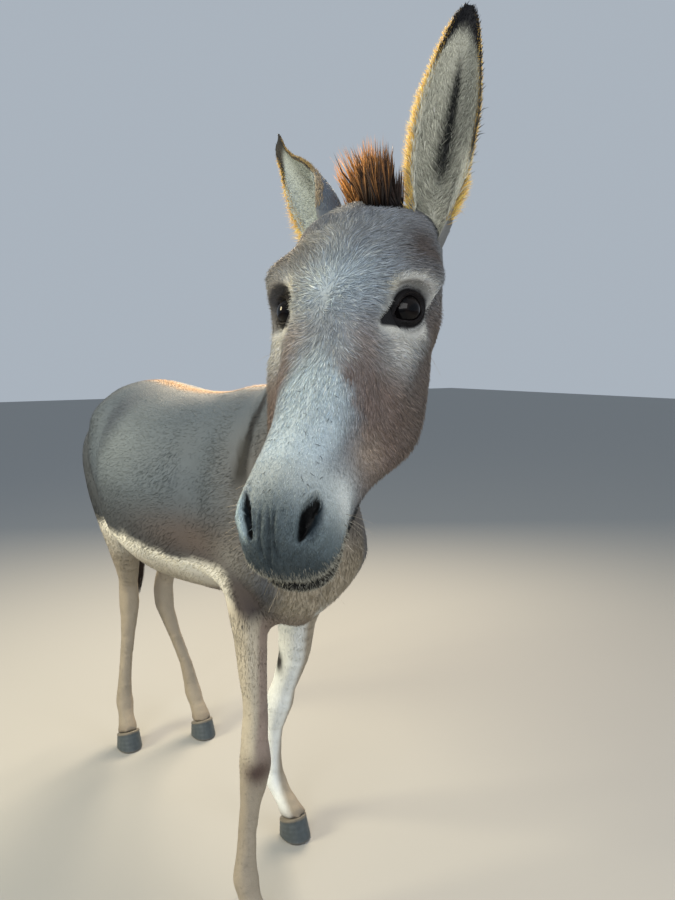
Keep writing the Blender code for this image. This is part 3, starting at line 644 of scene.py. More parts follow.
# base, tip and direction of the opening, in the head's frame
EARS = {
    "ear_left": ((0.072, 0.030, -0.060), (0.110, -0.230, 0.081), (0.16, 0.86, 0.48)),
    "ear_right": ((-0.057, 0.022, -0.056), (-0.197, -0.238, -0.076), (-0.48, 0.74, 0.45)),
}
EAR_RINGS = 56
EAR_ARC = 27  # points across the back, and as many across the inside
EAR_COAT = 0.0011
EAR_FOLD = 0.0022
EAR_FOLD_PLACE = -0.10  # across the inside, from -1 at one edge to 1 at the other
EAR_SHARES = (0.0, 0.15, 0.30, 0.50, 0.70, 0.85, 0.95, 1.0)
EAR_SLIM = {"ear_left": (0.90, 0.86, 0.86, 0.87, 0.92, 0.96, 1.0, 1.0),
            "ear_right": (1.0, 1.0, 0.98, 0.90, 0.74, 0.70, 1.05, 1.7)}
EAR_BEND = {"ear_left": np.zeros(8), "ear_right": (0, 0.002, 0.007, 0.012, 0.014, 0.011, 0.005, 0.001)}
RIGHT_EAR_TINT = (0.62, 0.72, 0.88)  # it stands in the shade of the head


def smooth_rows(rows, count):
    """Rows at even steps of their first column, each other column a smooth curve through its values."""
    place = rows[:, 0]
    slope = np.gradient(rows, place, axis=0)
    at = np.linspace(place[0], place[-1], count)
    i = np.clip(np.searchsorted(place, at) - 1, 0, len(place) - 2)
    gap = (place[i + 1] - place[i])[:, None]
    t = (at - place[i])[:, None] / gap
    return (
        (2 * t**3 - 3 * t**2 + 1) * rows[i] + (t**3 - 2 * t**2 + t) * gap * slope[i]
        + (3 * t**2 - 2 * t**3) * rows[i + 1] + (t**3 - t**2) * gap * slope[i + 1]
    )


def ear_frame(name):
    base, tip, opening = (np.array(v) for v in EARS[name])
    axis = unit(tip - base)
    opening = unit(opening - axis * (opening @ axis))
    return base, tip, np.cross(axis, opening), opening


def left_edge(name):
    """1 if places across the ear grow towards the camera's left, else -1."""
    return -np.sign(ear_frame(name)[2] @ HEAD_AXES @ VIEW_RIGHT)


def make_ear(name):
    """Points, triangles, and for each point its share of the length, place across and 1 if inside."""
    base, tip, across, opening = ear_frame(name)
    points, places = [], []
    for share, half_width, depth, thickness, wrap in smooth_rows(EAR_ROWS, EAR_RINGS):
        wrap = math.radians(wrap)
        half_width *= np.interp(share, EAR_SHARES, EAR_SLIM[name])
        bend = np.interp(share, EAR_SHARES, EAR_BEND[name]) * left_edge(name)
        radius = half_width / math.sin(min(wrap, math.pi / 2))
        fall = depth / (radius * (1 - math.cos(min(wrap, math.pi / 2))))
        for inside in (0, 1):
            place = np.linspace(-1, 1, EAR_ARC) * (1, -1)[inside]
            thin = thickness * (1 - 0.35 * place**2) - EAR_COAT
            groove = EAR_FOLD * bump(place, EAR_FOLD_PLACE, 0.09)
            groove = groove * step(share, 0.1, 0.3) * step(share, 0.85, 0.7)
            inset = np.where(inside, thin - groove, EAR_COAT)
            angle = place * (wrap - EAR_COAT / radius)
            x = (radius - inset) * np.sin(angle) + bend
            y = inset - depth + (radius - inset) * fall * (1 - np.cos(angle))
            points.append(base + (tip - base) * share + x[:, None] * across + y[:, None] * opening)
            places.append(np.column_stack((np.full(EAR_ARC, share), place, np.full(EAR_ARC, inside))))
    around = 2 * EAR_ARC
    low, high = (EAR_RINGS - 1) * around, EAR_RINGS * around - 1
    cap = [(low + i, low + i + 1, high - 1 - i, high - i) for i in range(EAR_ARC - 1)]
    triangles = halved(np.vstack((lofted(EAR_RINGS, around), cap)))
    points = from_head(np.vstack(points))
    return points, faced_out(points, triangles), np.vstack(places)


ears = {name: make_ear(name) for name in EARS}
print("ears:", {name: len(triangles) for name, (_, triangles, _) in ears.items()}, "triangles")

# %% [markdown]
# ## Markings
#
# The coat is mouse grey on the body, with a dark stripe along the back and another across the
# shoulders. Belly, chest and the insides of the legs are cream. The face is grey with a pale bridge,
# tinted blue by a painted reflection of the sky, warm brown cheeks, a pale ring round each eye and a
# slate muzzle. Some marks are painted light and shade: a shadow before the hip, shade in creases and
# in the nostrils, and highlights beside the nostrils. The warm tips along the back, on the ears'
# fringes and on the mane are painted rim light. One function gives the colour at any point, and both
# the skin and the hair that grows there ask it, so they always agree.

# %% Colour of the coat at a point
# Colours as a screen shows them, from 0 to 255
GREY, DARK_GREY, SLATE, NEAR_BLACK = (134, 140, 146), (104, 103, 108), (108, 122, 128), (22, 20, 22)
PALE_BLUE, PALE, SAGE, CREAM = (182, 197, 204), (196, 196, 190), (206, 206, 190), (240, 238, 226)
MAUVE, LEG, STRIPE = (122, 110, 103), (152, 143, 128), (11, 16, 23)
BODY_GREY, FLANK = (73, 85, 97), (54, 58, 62)
# The stripe down each shoulder, told for the right one, and the dark skin at the left eye's front corner
SHOULDER_STRIPE = np.array(((-0.030, -0.105, 1.160), (-0.084, -0.095, 1.115), (-0.093, -0.078, 1.085),
                            (-0.106, -0.070, 1.038), (-0.120, -0.070, 0.990), (-0.131, -0.080, 0.930)))
TEAR_LINE = np.array(((0.062, 0.196, -0.036), (0.0570, 0.210, -0.027), (0.0515, 0.222, -0.0205)))
NO_EYE = 99.0  # stands for "far from both eyes"


def mix(under, over, share):
    return under + (over - under) * np.clip(share, 0, 1)[:, None]


def layered(colour, layers):
    """The colour under layers of paint, each a screen colour and its share at every point."""
    for paint_colour, share in layers:
        colour = mix(colour, srgb(*paint_colour), share)
    return colour


def flat_colour(colour, points):
    return np.broadcast_to(srgb(*colour), (len(points), 3))


def eye_place(points):
    """Distance from the nearer eye's axis in shares of the lids' edge, and the place beside it."""
    best = np.full(len(points), NO_EYE)
    local = np.zeros((len(points), 3))
    for side in (-1, 1):
        at = to_eye(points, side)
        share = np.hypot(at[:, 0], at[:, 1]) / lid_edge(np.arctan2(at[:, 1], at[:, 0]))
        share = np.where((at[:, 2] > -0.012) & (np.linalg.norm(at, axis=1) < 0.09), share, NO_EYE)
        closer = share < best
        best = np.where(closer, share, best)
        local = np.where(closer[:, None], at, local)
    return best, local


def face_colour(points):
    at = to_head(points)
    m = mirrored(at)
    l, n, d = m.T
    on_left, on_right = at[:, 0] > 0, at[:, 0] < 0
    bridge = step(l + 0.010 * (noise(points, 0.02, 9) - 0.5), 0.046, 0.022)
    bridge = bridge * step(n, 0.235, 0.31) * step(d, -0.06, -0.03)
    brown_from = np.where(on_left, 0.013, 0.024) + 0.74 * (n - 0.30)  # its edge slants away from the nose
    brown = step(l - brown_from + 0.022 * (noise(points, 0.014, 19) - 0.5), -0.004, 0.022)
    brown = brown * step(n, 0.255, 0.295) * step(n, 0.40, 0.35) * step(l, 0.085, 0.055)
    nostril, _ = nostril_place(points)
    wing = step(nostril_side(m), 0.0005, 0.0080)
    # painted shade inside the nostrils: near black, a little lighter on the outer wall
    depth = mix(flat_colour((3, 4, 5), points), srgb(30, 42, 50), wing)
    gap, _ = mouth_place(points)
    eye, local = eye_place(points)
    ring = bump(eye, 2.0, 0.50) * (0.72 + 0.5 * (noise(points, 0.012, 31) - 0.5))
    far_side = on_right * step(local[:, 0], 0.0, 0.012)
    tear, run = along_line(m, TEAR_LINE)
    colour = layered(flat_colour(GREY, points), (
        (DARK_GREY, step(n, 0.08, 0.01) * 0.6),  # the poll
        ((84, 78, 76), 1.3 * blob(m, (0.078, 0.108, -0.032), (0.030, 0.050, 0.04))),  # temples
        (MAUVE, step(l, 0.034, 0.066) * step(n, 0.22, 0.29) * step(n, 0.41, 0.36) * 0.95),  # cheeks
        ((106, 96, 90), step(d, -0.05, -0.10) * step(n, 0.42, 0.34) * step(n, 0.05, 0.15) * 0.9),  # jaw
        ((140, 127, 120), 0.9 * blob(m, (0.036, 0.262, -0.01), (0.016, 0.034, 0.03))),  # below the brow
        # the pale bridge, its blue tint a painted reflection of the sky
        (PALE_BLUE, bridge),
        ((121, 107, 101), brown * (0.62 + 0.5 * noise(points, 0.010, 20))),
        ((160, 146, 134), 0.8 * blob(m, (0.054, 0.352, -0.070), (0.014, 0.022, 0.030))),  # lower cheek
        ((166, 180, 190), 0.95 * blob(m, (0, 0.182, 0), (0.044, 0.042, 0.05))),  # the whorl
        ((112, 110, 106), 0.8 * blob(at, (-0.050, 0.135, -0.02), (0.020, 0.040, 0.04))),  # right brow
        ((166, 176, 178), step(n, 0.385, 0.42) * step(d, -0.10, -0.06)),  # above the nostrils
        (SLATE, step(n + 0.35 * (-d - 0.03) - 0.30 * l, 0.405, 0.455)),  # muzzle
        ((232, 238, 236), 0.95 * blob(m, (0.060, 0.412, -0.056), (0.018, 0.026, 0.024))),  # painted rim light behind the nostrils
        ((62, 73, 78), step(n - 0.30 * l - 0.5 * (d + 0.03), 0.455, 0.490) * 0.9),  # the muzzle's front
        ((82, 94, 99), 0.9 * blob(m, (0.0, 0.462, -0.035), (0.021, 0.032, 0.030))),
        # painted shade at the bottom of the folds between the nostrils
        ((50, 60, 65), 0.85 * muzzle_folds(at)),
        ((50, 62, 70), 0.95 * step(nostril, 2.3, 1.2) * wing * on_left),  # shade beside the nostril
        ((178, 198, 204), 0.95 * step(nostril, 3.6, 2.4) * wing * on_right),  # and a painted highlight beside the other
    ))
    # the nostrils filled with their painted shade
    colour = mix(colour, depth, step(nostril, 1.30, 1.05))
    return layered(colour, (
        ((138, 138, 124), 0.9 * bump(d, -0.095, 0.005) * step(n, 0.40, 0.44)),  # upper lip
        ((17, 15, 14), step(d, -0.100, -0.107) * step(n, 0.36, 0.40)),  # lower lip
        ((26, 20, 20), step(gap, 0.0035, 0.0015)),  # mouth
        ((104, 90, 80), step(d, -0.125, -0.15) * step(n, 0.40, 0.34) * 0.7),  # under the chin
        ((196, 196, 192), 0.9 * blob(m, (0.072, 0.228, -0.040), (0.022, 0.030, 0.028))),  # below the eye
        (PALE, ring * (1 - 0.8 * far_side)),
        ((70, 66, 64), 0.8 * far_side * step(eye, 2.6, 1.7)),
        # painted shade in the crease above the upper lid
        ((104, 100, 98), bump(eye, 1.88, 0.10) * step(local[:, 1], -0.002, 0.008) * (eye < 9) * 0.6),
        ((196, 192, 176), blob(local, (-0.014, 0.030, 0.008), (0.010, 0.007, 0.02)) * (eye < 9)),  # brow
        (NEAR_BLACK, 1.3 * step(tear, 0.0170 - 0.0100 * run, 0.0125 - 0.0095 * run)),
        ((16, 14, 16), step(eye, 1.68, 1.36)),  # lids
    ))


def body_colour(points):
    b = points - GROUND
    x, y, z = b.T
    side = np.abs(x)
    both = np.column_stack((side, y, z))
    right, left = x < 0, x > 0
    belly_top = np.interp(y, (-0.10, 0.0, 0.15, 0.34, 0.75), (0.785, 0.780, 0.772, 0.790, 0.735))
    belly_top = belly_top + 0.012 * (noise(points, 0.05) - 0.5)
    belly = step(z, belly_top + 0.014, belly_top - 0.012) * step(y, -0.035, -0.005) * step(z, 0.60, 0.66)
    on_leg = step(z + 0.03 * (noise(points, 0.06, 4) - 0.5), 0.735, 0.665)
    leg_middle = np.where(y < 0.30, np.where(right, -0.115, 0.105), np.where(right, -0.105, 0.11))
    inner = step((leg_middle - x) * np.sign(leg_middle), 0.000, 0.020)
    fore = on_leg * step(y, 0.5, 0.3)
    forearm = fore * right * step(z, 0.30, 0.42)
    knees = blob(b, (-0.104, -0.080, 0.360), (0.042, 0.032, 0.028))
    knees += blob(b, (0.110, -0.02, 0.372), (0.04, 0.04, 0.026))
    chestnuts = blob(b, (0.066, 0.120, 0.486), (0.016, 0.018, 0.026))
    chestnuts += blob(b, (-0.062, -0.08, 0.475), (0.020, 0.022, 0.024))
    stripe, _ = along_line(both * (-1, 1, 1), SHOULDER_STRIPE)
    spine = step(side + 0.006 * (noise(points, 0.03, 12) - 0.5), 0.017, 0.009)
    return layered(flat_colour(BODY_GREY, points), (
        ((112, 122, 128), 0.7 * blob(b * (0, 1, 1), (0, 0.46, 0.98), (1, 0.20, 0.12))),  # upper side
        (FLANK, step(z, 0.95, 0.80) * step(y, -0.15, 0.0) * 0.9),
        ((84, 74, 70), 0.8 * blob(b * (0, 1, 1), (0, 0.05, 0.83), (1, 0.20, 0.05))),  # above the elbow
        ((116, 108, 102), step(y, -0.16, -0.30) * step(z, 0.80, 0.90) * 0.85),  # neck
        ((52, 60, 73), 0.75 * blob(both, (0.17, 0.555, 1.055), (0.08, 0.075, 0.10))),  # painted shadow of the hip, before it
        ((76, 78, 80), 0.6 * step(y, 0.62, 0.84) * step(z, 0.78, 0.90)),  # rump
        (CREAM, belly),
        ((166, 156, 138), step(y, -0.08, -0.14) * step(z, 0.90, 0.80) * step(side, 0.125, 0.090)),  # chest
        ((98, 88, 76), blob(both, (0.11, -0.28, 0.95), (0.14, 0.20, 0.15)) * 1.1),  # throat
        (LEG, on_leg * (1 - 0.4 * belly)),
        ((234, 240, 240), inner * fore * left),
        ((190, 182, 164), (1 - inner) * forearm * 0.8),
        ((140, 126, 117), inner * forearm),
        (LEG, on_leg * step(y, 0.3, 0.5) * (1 - inner) * step(z, 0.62, 0.50) * 0.6),
        ((120, 120, 118), 0.8 * blob(b, (-0.150, -0.070, 0.815), (0.060, 0.070, 0.040))),  # right shoulder
        ((68, 62, 62), 1.9 * blob(b, (-0.158, -0.072, 0.730), (0.055, 0.066, 0.044))),  # dark patch below it
        ((84, 70, 64), 1.1 * knees),
        ((128, 110, 92), 0.9 * blob(b, (0.135, 0.0, 0.43), (0.030, 0.060, 0.050))),
        ((38, 36, 36), 1.6 * chestnuts),
        ((110, 98, 86), step(z, 0.085, 0.055) * 0.5),  # above the hooves
        (STRIPE, step(stripe, 0.024, 0.013) * step(z, 0.935, 0.985)),
        ((64, 56, 52), spine * step(z, 0.95, 1.02) * step(y, -0.2, -0.1)),
        ((92, 88, 84), step(y, 0.93, 0.97) * step(side, 0.08, 0.05)),  # tail
    ))


def back_line(points):
    """1 along the top of the back, where the hair stands up a little and its tips take a painted warm rim
    light.
    """
    x, y, z = (points - GROUND).T
    return step(np.abs(x), 0.046, 0.012) * step(z, 0.98, 1.04) * step(y, -0.15, -0.02) * step(y, 0.86, 0.60)


def coat_colour(points):
    colour = mix(body_colour(points), face_colour(points), on_head(points))
    patches = noise(points, 0.045, 7) * 0.6 + noise(points, 0.018, 8) * 0.4
    return colour * (0.90 + 0.20 * patches)[:, None]


def ear_colour(places, name):
    share, place, inside = places.T
    outer = place * left_edge(name)
    fold = 1.3 * bump(place, EAR_FOLD_PLACE, 0.12 - 0.05 * share)
    fold = fold * step(share, 0.20, 0.36) * step(share, 0.84, 0.66) * (name == "ear_left")
    fold += 0.7 * bump(place, -0.45, 0.05) * step(share, 0.02, 0.08) * step(share, 0.40, 0.26)
    shade = bump(place, EAR_FOLD_PLACE, 0.20) * step(share, 0.9, 0.6) * step(share, 0.10, 0.34)
    colour = layered(flat_colour(SAGE, places), (
        ((120, 122, 110), shade * 0.75),
        # painted shade on the upper inside, on the half towards the camera's right
        ((150, 152, 140), 0.75 * step(outer, -0.15, -0.45) * step(share, 0.30, 0.50)),
        # painted shade along the fold's crease inside the ear, and a second dark line near the base
        ((26, 28, 26), fold),
    ))
    back = layered(flat_colour((140, 148, 152), places), (((112, 108, 104), step(share, 0.25, 0.0) * 0.6),))
    colour = np.where(inside[:, None] > 0.5, colour, back)
    if name == "ear_right":
        colour = colour * RIGHT_EAR_TINT
    rim = np.where(outer > 0, step(share, 0.70, 0.90), step(share, 0.25, 0.40))
    rim = step(np.abs(place), 0.83, 0.95) * rim
    return layered(colour, (
        ((16, 17, 22), step(share + 0.20 * np.abs(place) ** 3, 0.85, 0.93)),  # tip
        ((30, 27, 28), rim * 0.9),
    ))


# %% Ears and lid rims join the skin, and the skin takes its colours
LID_RIM = 0.0013
SKIN_SHADE = {"head": 0.75, "body": 0.92, "ears": 0.62}  # how much darker the skin is than its hair


def make_lid_rim(side, around=96, section=8):
    """The moist edge of the lids: a fine tube along the almond, resting on the eyeball."""
    angle = np.linspace(0, 2 * math.pi, around, endpoint=False)
    reach = lid_edge(angle) + 0.0002
    line = np.column_stack((reach * np.cos(angle), reach * np.sin(angle), lid_surface(reach, 0.0008)))
    run = unit(np.roll(line, -1, axis=0) - np.roll(line, 1, axis=0))
    out = unit(line - run * (line * run).sum(axis=1)[:, None])
    across = np.cross(run, out)
    turn = np.linspace(0, 2 * math.pi, section, endpoint=False)
    round_it = np.cos(turn)[None, :, None] * out[:, None] + np.sin(turn)[None, :, None] * across[:, None]
    points = from_eye((line[:, None] + LID_RIM * round_it).reshape(-1, 3), side)
    return points, faced_out(points, halved(lofted(around + 1, section) % len(points)))


smooth_faces(skin.data)
skin_points = points_of(skin.data)
skin_normals = normals_of(skin.data)
skin_triangles = triangles_of(skin.data)
shade = np.where(on_head(skin_plain) > 0.5, SKIN_SHADE["head"], SKIN_SHADE["body"])
paint(skin.data, coat_colour(skin_plain) * shade[:, None])
joining = [skin]
for name, (ear_points, ear_triangles, ear_places) in ears.items():
    ear_mesh = mesh_from(name + "_skin", ear_points, ear_triangles)
    paint(ear_mesh, ear_colour(ear_places, name) * SKIN_SHADE["ears"])
    joining.append(object_of(name + "_skin", ear_mesh))
for side in (-1, 1):
    rim_points, rim_triangles = make_lid_rim(side)
    rim_mesh = mesh_from("lid_rim", rim_points, rim_triangles)
    paint(rim_mesh, flat_colour((20, 16, 17), rim_points))
    joining.append(object_of("lid_rim", rim_mesh))
select_only(*joining)
bpy.ops.object.join()
print("skin with ears:", len(triangles_of(skin.data)), "triangles")

# %% [markdown]
# ## What skin and hair look like up close
#
# Both take their colour from the markings stored on their points. The skin adds a fine grain in bump,
# as short hair does that lies too flat to model. The tufts are a little rough with a weak highlight,
# so the coat looks dry rather than oiled.

# %% Materials for skin and hair
def set_sockets(node, sockets):
    for socket, value in sockets.items():
        node.inputs[socket].default_value = value


def new_material(name, sockets):
    """A material and its shader, with values on the shader's sockets."""
    finish = bpy.data.materials.new(name)
    finish.use_nodes = True
    shader = finish.node_tree.nodes["Principled BSDF"]
    set_sockets(shader, sockets)
    return finish, shader


def add_node(finish, kind, sockets=None):
    node = finish.node_tree.nodes.new("ShaderNode" + kind)
    set_sockets(node, sockets or {})
    return node


def hair_material(name, roughness, grain, grain_depth, shine=0.25):
    """Takes its colour from the points, with a fine grain in the colour and in bump."""
    finish, shader = new_material(name, {"Roughness": roughness, "Specular IOR Level": shine})
    colour = add_node(finish, "Attribute")
    colour.attribute_name = "hair_colour"
    place = add_node(finish, "TexCoord")
    speckle = add_node(finish, "TexNoise", {"Scale": grain, "Detail": 3.0})
    spread = add_node(finish, "MapRange", {"To Min": 0.78, "To Max": 1.22})
    tint = add_node(finish, "VectorMath")
    tint.operation = "SCALE"
    relief = add_node(finish, "Bump", {"Strength": 0.6, "Distance": grain_depth})
    for start, end in (
        (place.outputs["Object"], speckle.inputs["Vector"]),
        (speckle.outputs["Fac"], spread.inputs["Value"]),
        (colour.outputs["Color"], tint.inputs[0]),
        (spread.outputs["Result"], tint.inputs["Scale"]),
        (tint.outputs["Vector"], shader.inputs["Base Color"]),
        (speckle.outputs["Fac"], relief.inputs["Height"]),
        (relief.outputs["Normal"], shader.inputs["Normal"]),
    ):
        finish.node_tree.links.new(start, end)
    return finish


skin.data.materials.append(hair_material("skin", 0.62, 620.0, 0.0012))
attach(skin, "root")
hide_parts(*FLESH, *EARS)
print("skin replaces", len(FLESH) + len(EARS), "solids")

# %% [markdown]
# ## How the coat grows
#
# Hair on a donkey lies from a whorl on the forehead outwards, down the face to the nose, back along
# neck and barrel, and straight down the legs. Each tuft is a thin closed spike with a ridge, rooted
# just under the skin, rising a little and then lying along that flow. Longer hair takes more rings of
# points. Tufts are placed evenly over the skin, more of them and smaller ones on face and feet.

# %% Tufts in one mesh
TUFT_PATCH = 0.0015  # half the width of a tuft's patch on the unwrap
UNWRAP_EDGE = 0.006


def scattered(points, triangles, weight, count):
    """Evenly spread places: the triangle of each and the shares of its three corners."""
    corners = points[triangles]
    area = np.linalg.norm(np.cross(corners[:, 1] - corners[:, 0], corners[:, 2] - corners[:, 0]), axis=1)
    total = np.cumsum(area * weight[triangles].mean(axis=1))
    marks = (np.arange(count) + rng.random(count)) / count * total[-1]
    which = np.minimum(np.searchsorted(total, marks), len(triangles) - 1)
    shares = rng.random((count, 2))
    shares = np.where(shares.sum(axis=1, keepdims=True) > 1, 1 - shares, shares)
    return triangles[which], np.column_stack((1 - shares.sum(axis=1), shares))


def taken_at(values, corners, shares):
    return np.einsum("ij,ijk->ik", shares, values[corners])


def spike_triangles(rings):
    faces = [(0, 2, 1)]
    for ring in range(rings - 1):
        for i in range(3):
            a, b = 3 * ring + i, 3 * ring + (i + 1) % 3
            faces += [(a, b, b + 3), (a, b + 3, a + 3)]
    last = 3 * (rings - 1)
    return np.array(faces + [(last + i, last + (i + 1) % 3, 3 * rings) for i in range(3)])


def spikes(paths, side, up, width, ridge=0.9):
    """Points, triangles and each point's share of its spike's length, for many closed tapering spikes."""
    count, rings = len(paths), paths.shape[1] - 1
    shares = np.linspace(0, 1, rings + 1)
    girth = np.interp(shares, (0, 0.35, 0.75, 1), (0.8, 1.0, 0.62, 0))
    points = np.empty((count, 3 * rings + 1, 3))
    for i in range(rings):
        half = (width * girth[i] / 2)[:, None]
        points[:, 3 * i] = paths[:, i] - side * half
        points[:, 3 * i + 1] = paths[:, i] + side * half
        points[:, 3 * i + 2] = paths[:, i] + up * half * ridge
    points[:, -1] = paths[:, -1]
    triangles = (np.arange(count)[:, None, None] * (3 * rings + 1) + spike_triangles(rings)).reshape(-1, 3)
    along = np.append(np.repeat(shares[:-1], 3), 1.0)
    return points.reshape(-1, 3), triangles, np.tile(along, count)


def tufts(roots, normals, flow, length, width, lift, bend, rings, droop=0.55, sink=0.0012, ridge=0.9):
    """Spikes that rise out of the skin by `lift` and then lie down along the flow."""
    flow = unit(flow - normals * (flow * normals).sum(axis=1)[:, None])
    side = np.cross(normals, flow)
    paths = np.empty((len(roots), rings + 1, 3))
    for i, share in enumerate(np.linspace(0, 1, rings + 1)):
        run = (length * share * np.cos(lift))[:, None]
        rise = (length * np.sin(lift) * share * (1 - droop * share) - sink * (1 - share))[:, None]
        sway = (length * bend * share**2)[:, None]
        paths[:, i] = roots + flow * run + normals * rise + side * sway
    return spikes(paths, side, normals, width, ridge)


def lifted_clear(tree, roots, normals, flow, length, lift, droop=0.55):
    """The lift that keeps each tuft's tip just above the skin, also where the skin is hollow."""
    flow = unit(flow - normals * (flow * normals).sum(axis=1)[:, None])
    tips = roots + flow * (length * np.cos(lift))[:, None]
    tips += normals * (length * np.sin(lift) * (1 - droop))[:, None]
    height = np.empty(len(tips))
    for i, tip in enumerate(tips):
        near, out, _, _ = tree.find_nearest(tip.tolist())
        height[i] = (tip - np.array(near)) @ np.array(out)
    short = np.clip(0.0004 + 0.35 * length * np.sin(lift) * (1 - droop) - height, 0, None)
    return np.arcsin(np.clip(np.sin(lift) + short / (length * (1 - droop)), 0, 0.92))


def coat_piece(name, built, colours_root, colours_tip, unwrap, material, rings, turn=1.3):
    """One mesh of tufts, with the colour of each point and an unwrap where each tuft is a small patch."""
    points, triangles, along = built
    each = 3 * rings + 1
    mesh = mesh_from(name, points, triangles)
    blend = along[:, None] ** turn
    root, tip = (np.repeat(colours, each, axis=0) for colours in (colours_root, colours_tip))
    paint(mesh, root * (1 - blend) + tip * blend)
    low, high = unwrap.min(axis=0), unwrap.max(axis=0)
    place = UNWRAP_EDGE + (unwrap - low) / np.maximum(high - low, 1e-6) * (1 - 2 * UNWRAP_EDGE)
    corner = np.array([(-1, 0), (1, 0), (0, 0.7)] * rings + [(0, 0)]) * TUFT_PATCH
    corner[:, 1] += np.append(np.repeat(np.linspace(0, 1, rings + 1)[:-1], 3), 1.0) * TUFT_PATCH * 1.3
    uv = (place[:, None] + corner).reshape(-1, 2)
    layer = mesh.uv_layers.new(name="OFBake")
    layer.data.foreach_set("uv", uv[np.asarray(triangles).ravel()].astype(np.float32).ravel())
    piece = object_of(name, mesh, material)
    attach(piece, "root")
    return piece


# %% Lie, length and number of the hair
WHORL = np.array((0.0, 0.205, 0.0))
FACE_HAIR, BODY_HAIR = 0.0125, 0.019  # lengths where the hair is neither longer nor shorter than usual


def lie_of_coat(points):
    """The way the hair points at each place, not yet laid along the skin."""
    at = to_head(points)
    m = mirrored(at)
    wander = np.column_stack([noise(points, 0.030, seed) - 0.5 for seed in (21, 22, 23)])
    away = at - WHORL + wander * 0.055
    spread = unit(away * (2.4, 1.0, 1.0) + np.array((0, 1e-4, 0)))
    across = np.cross(spread, (0, 0, 1.0))
    swirl = 1.6 * (noise(points, 0.022, 6) - 0.5)
    spread = unit(spread + across * swirl[:, None])
    down_face = np.array((0.0, 1.0, -0.25))
    side_way = np.column_stack((np.sign(at[:, 0]) * 0.15, np.full(len(at), -0.05), -np.ones(len(at))))
    far = step(np.linalg.norm(away, axis=1), 0.06, 0.14)
    nose = step(at[:, 1], 0.24, 0.32)
    face = spread * (1 - 0.75 * far * nose)[:, None] + down_face * (0.9 * nose)[:, None]
    cheek = step(m[:, 2], -0.035, -0.08) * step(at[:, 1], 0.42, 0.34)
    face = face * (1 - 0.8 * cheek)[:, None] + side_way * (0.9 * cheek)[:, None]
    eye_away = m - eye_frame(1)[0]
    round_eye = step(np.linalg.norm(eye_away, axis=1), 0.050, 0.030)
    eye_away = unit(eye_away) * np.column_stack((np.sign(at[:, 0]), np.ones((len(at), 2))))
    face = face * (1 - 0.7 * round_eye)[:, None] + eye_away * (0.9 * round_eye)[:, None]
    face = unit(face) @ HEAD_AXES
    b = points - GROUND
    y, z = b[:, 1], b[:, 2]
    body = np.array((0.0, 1.0, -0.42)) * np.ones_like(points)
    neck = step(y, -0.12, -0.30) * step(z, 0.80, 0.95)
    body = body * (1 - neck)[:, None] + np.array((0.35, 0.75, -0.75)) * neck[:, None]
    front = step(y, -0.10, -0.20) * step(z, 1.02, 0.92)
    rump = step(y, 0.66, 0.80)
    leg = step(z, 0.86, 0.70)
    down = np.clip(np.maximum(np.maximum(front, rump), leg * step(z, 0.78, 0.70)), 0, 1)
    body = body * (1 - down)[:, None] + np.array((0.0, 0.12, -1.0)) * down[:, None]
    body = unit(body)
    swirl = (noise(points, 0.06, 3) - 0.5)[:, None] * np.array((0.0, 0.4, 0.8))
    head = on_head(points)[:, None]
    return unit(face * head + (body + swirl) * (1 - head))


def hair_length(points):
    at = to_head(points)
    m = mirrored(at)
    _, n, d = m.T
    face = FACE_HAIR + 0.0035 * blob(m, (0, 0.13, 0), (0.07, 0.08, 0.06)) + 0.005 * step(d, -0.10, -0.15)
    face = face - 0.0065 * step(n, 0.30, 0.42)
    eye, _ = eye_place(points)
    face = face * (0.40 + 0.60 * step(eye, 1.6, 3.0))
    tear, _ = along_line(m, TEAR_LINE)
    face = face * (0.35 + 0.65 * step(tear, 0.006, 0.020))
    z = (points - GROUND)[:, 2]
    body = BODY_HAIR - 0.0085 * step(z, 0.70, 0.45) + 0.004 * step(z, 0.82, 0.76) * step(z, 0.6, 0.7)
    body = body - 0.003 * step(z, 0.20, 0.08)
    head = on_head(points)
    return face * head + body * (1 - head)


def bare(points):
    """1 where no hair grows: in the nostrils, between the lips, on the lids' edges and in the eyes."""
    eye, _ = eye_place(points)
    nostril, _ = nostril_place(points)
    gap, _ = mouth_place(points)
    tear, run = along_line(mirrored(to_head(points)), TEAR_LINE)
    tear = step(tear, 0.0120 - 0.0080 * run, 0.0095 - 0.0070 * run)
    return np.maximum.reduce((step(eye, 1.30, 1.18), step(nostril, 1.25, 1.0), step(gap, 0.004, 0.002), tear))


def hair_colours(points):
    """Root and tip colours of each tuft, with some tufts lighter and some darker than their place."""
    base = coat_colour(points)
    face = on_head(points)[:, None]
    light = np.exp(rng.normal(0, 1, len(points))[:, None] * (0.09 + 0.09 * face))
    warm = 1 + rng.normal(0, 0.03, len(points))[:, None] * np.array((1, 0.2, -1))
    frost = 1 + (0.12 + 0.28 * face) * (rng.random(len(points)) < 0.20)[:, None]
    root = base * (0.90 - 0.12 * face) * light * warm
    tip = base * (1.08 + 0.14 * face) * light * warm * frost
    return root, np.clip(tip, 0, 1)


def around_axis(points, start, end):
    """Unwrap round a line: the angle about it and the distance along it."""
    axis = unit(end - start)
    off = points - start
    along = off @ axis
    side = unit(np.cross(axis, (0, 0, 1.0) if abs(axis[2]) < 0.9 else (0, 1.0, 0)))
    up = np.cross(side, axis)
    return np.column_stack((np.arctan2(off @ side, off @ up) / (2 * math.pi), along))


# %% The coat, region by region
coat_material = hair_material("hair", 0.55, 900.0, 0.0004)
LEG_TOP = 0.66
BACK_LIFT, BACK_RIM_LIGHT = 22, (214, 160, 92)  # degrees more along the back, and the painted warm rim light on the tips there
LEG_AXES = {"foreleg_right": (-0.115, -0.08), "foreleg_left": (0.105, 0.10),
            "hindleg_right": (-0.105, 0.78), "hindleg_left": (0.11, 0.70)}


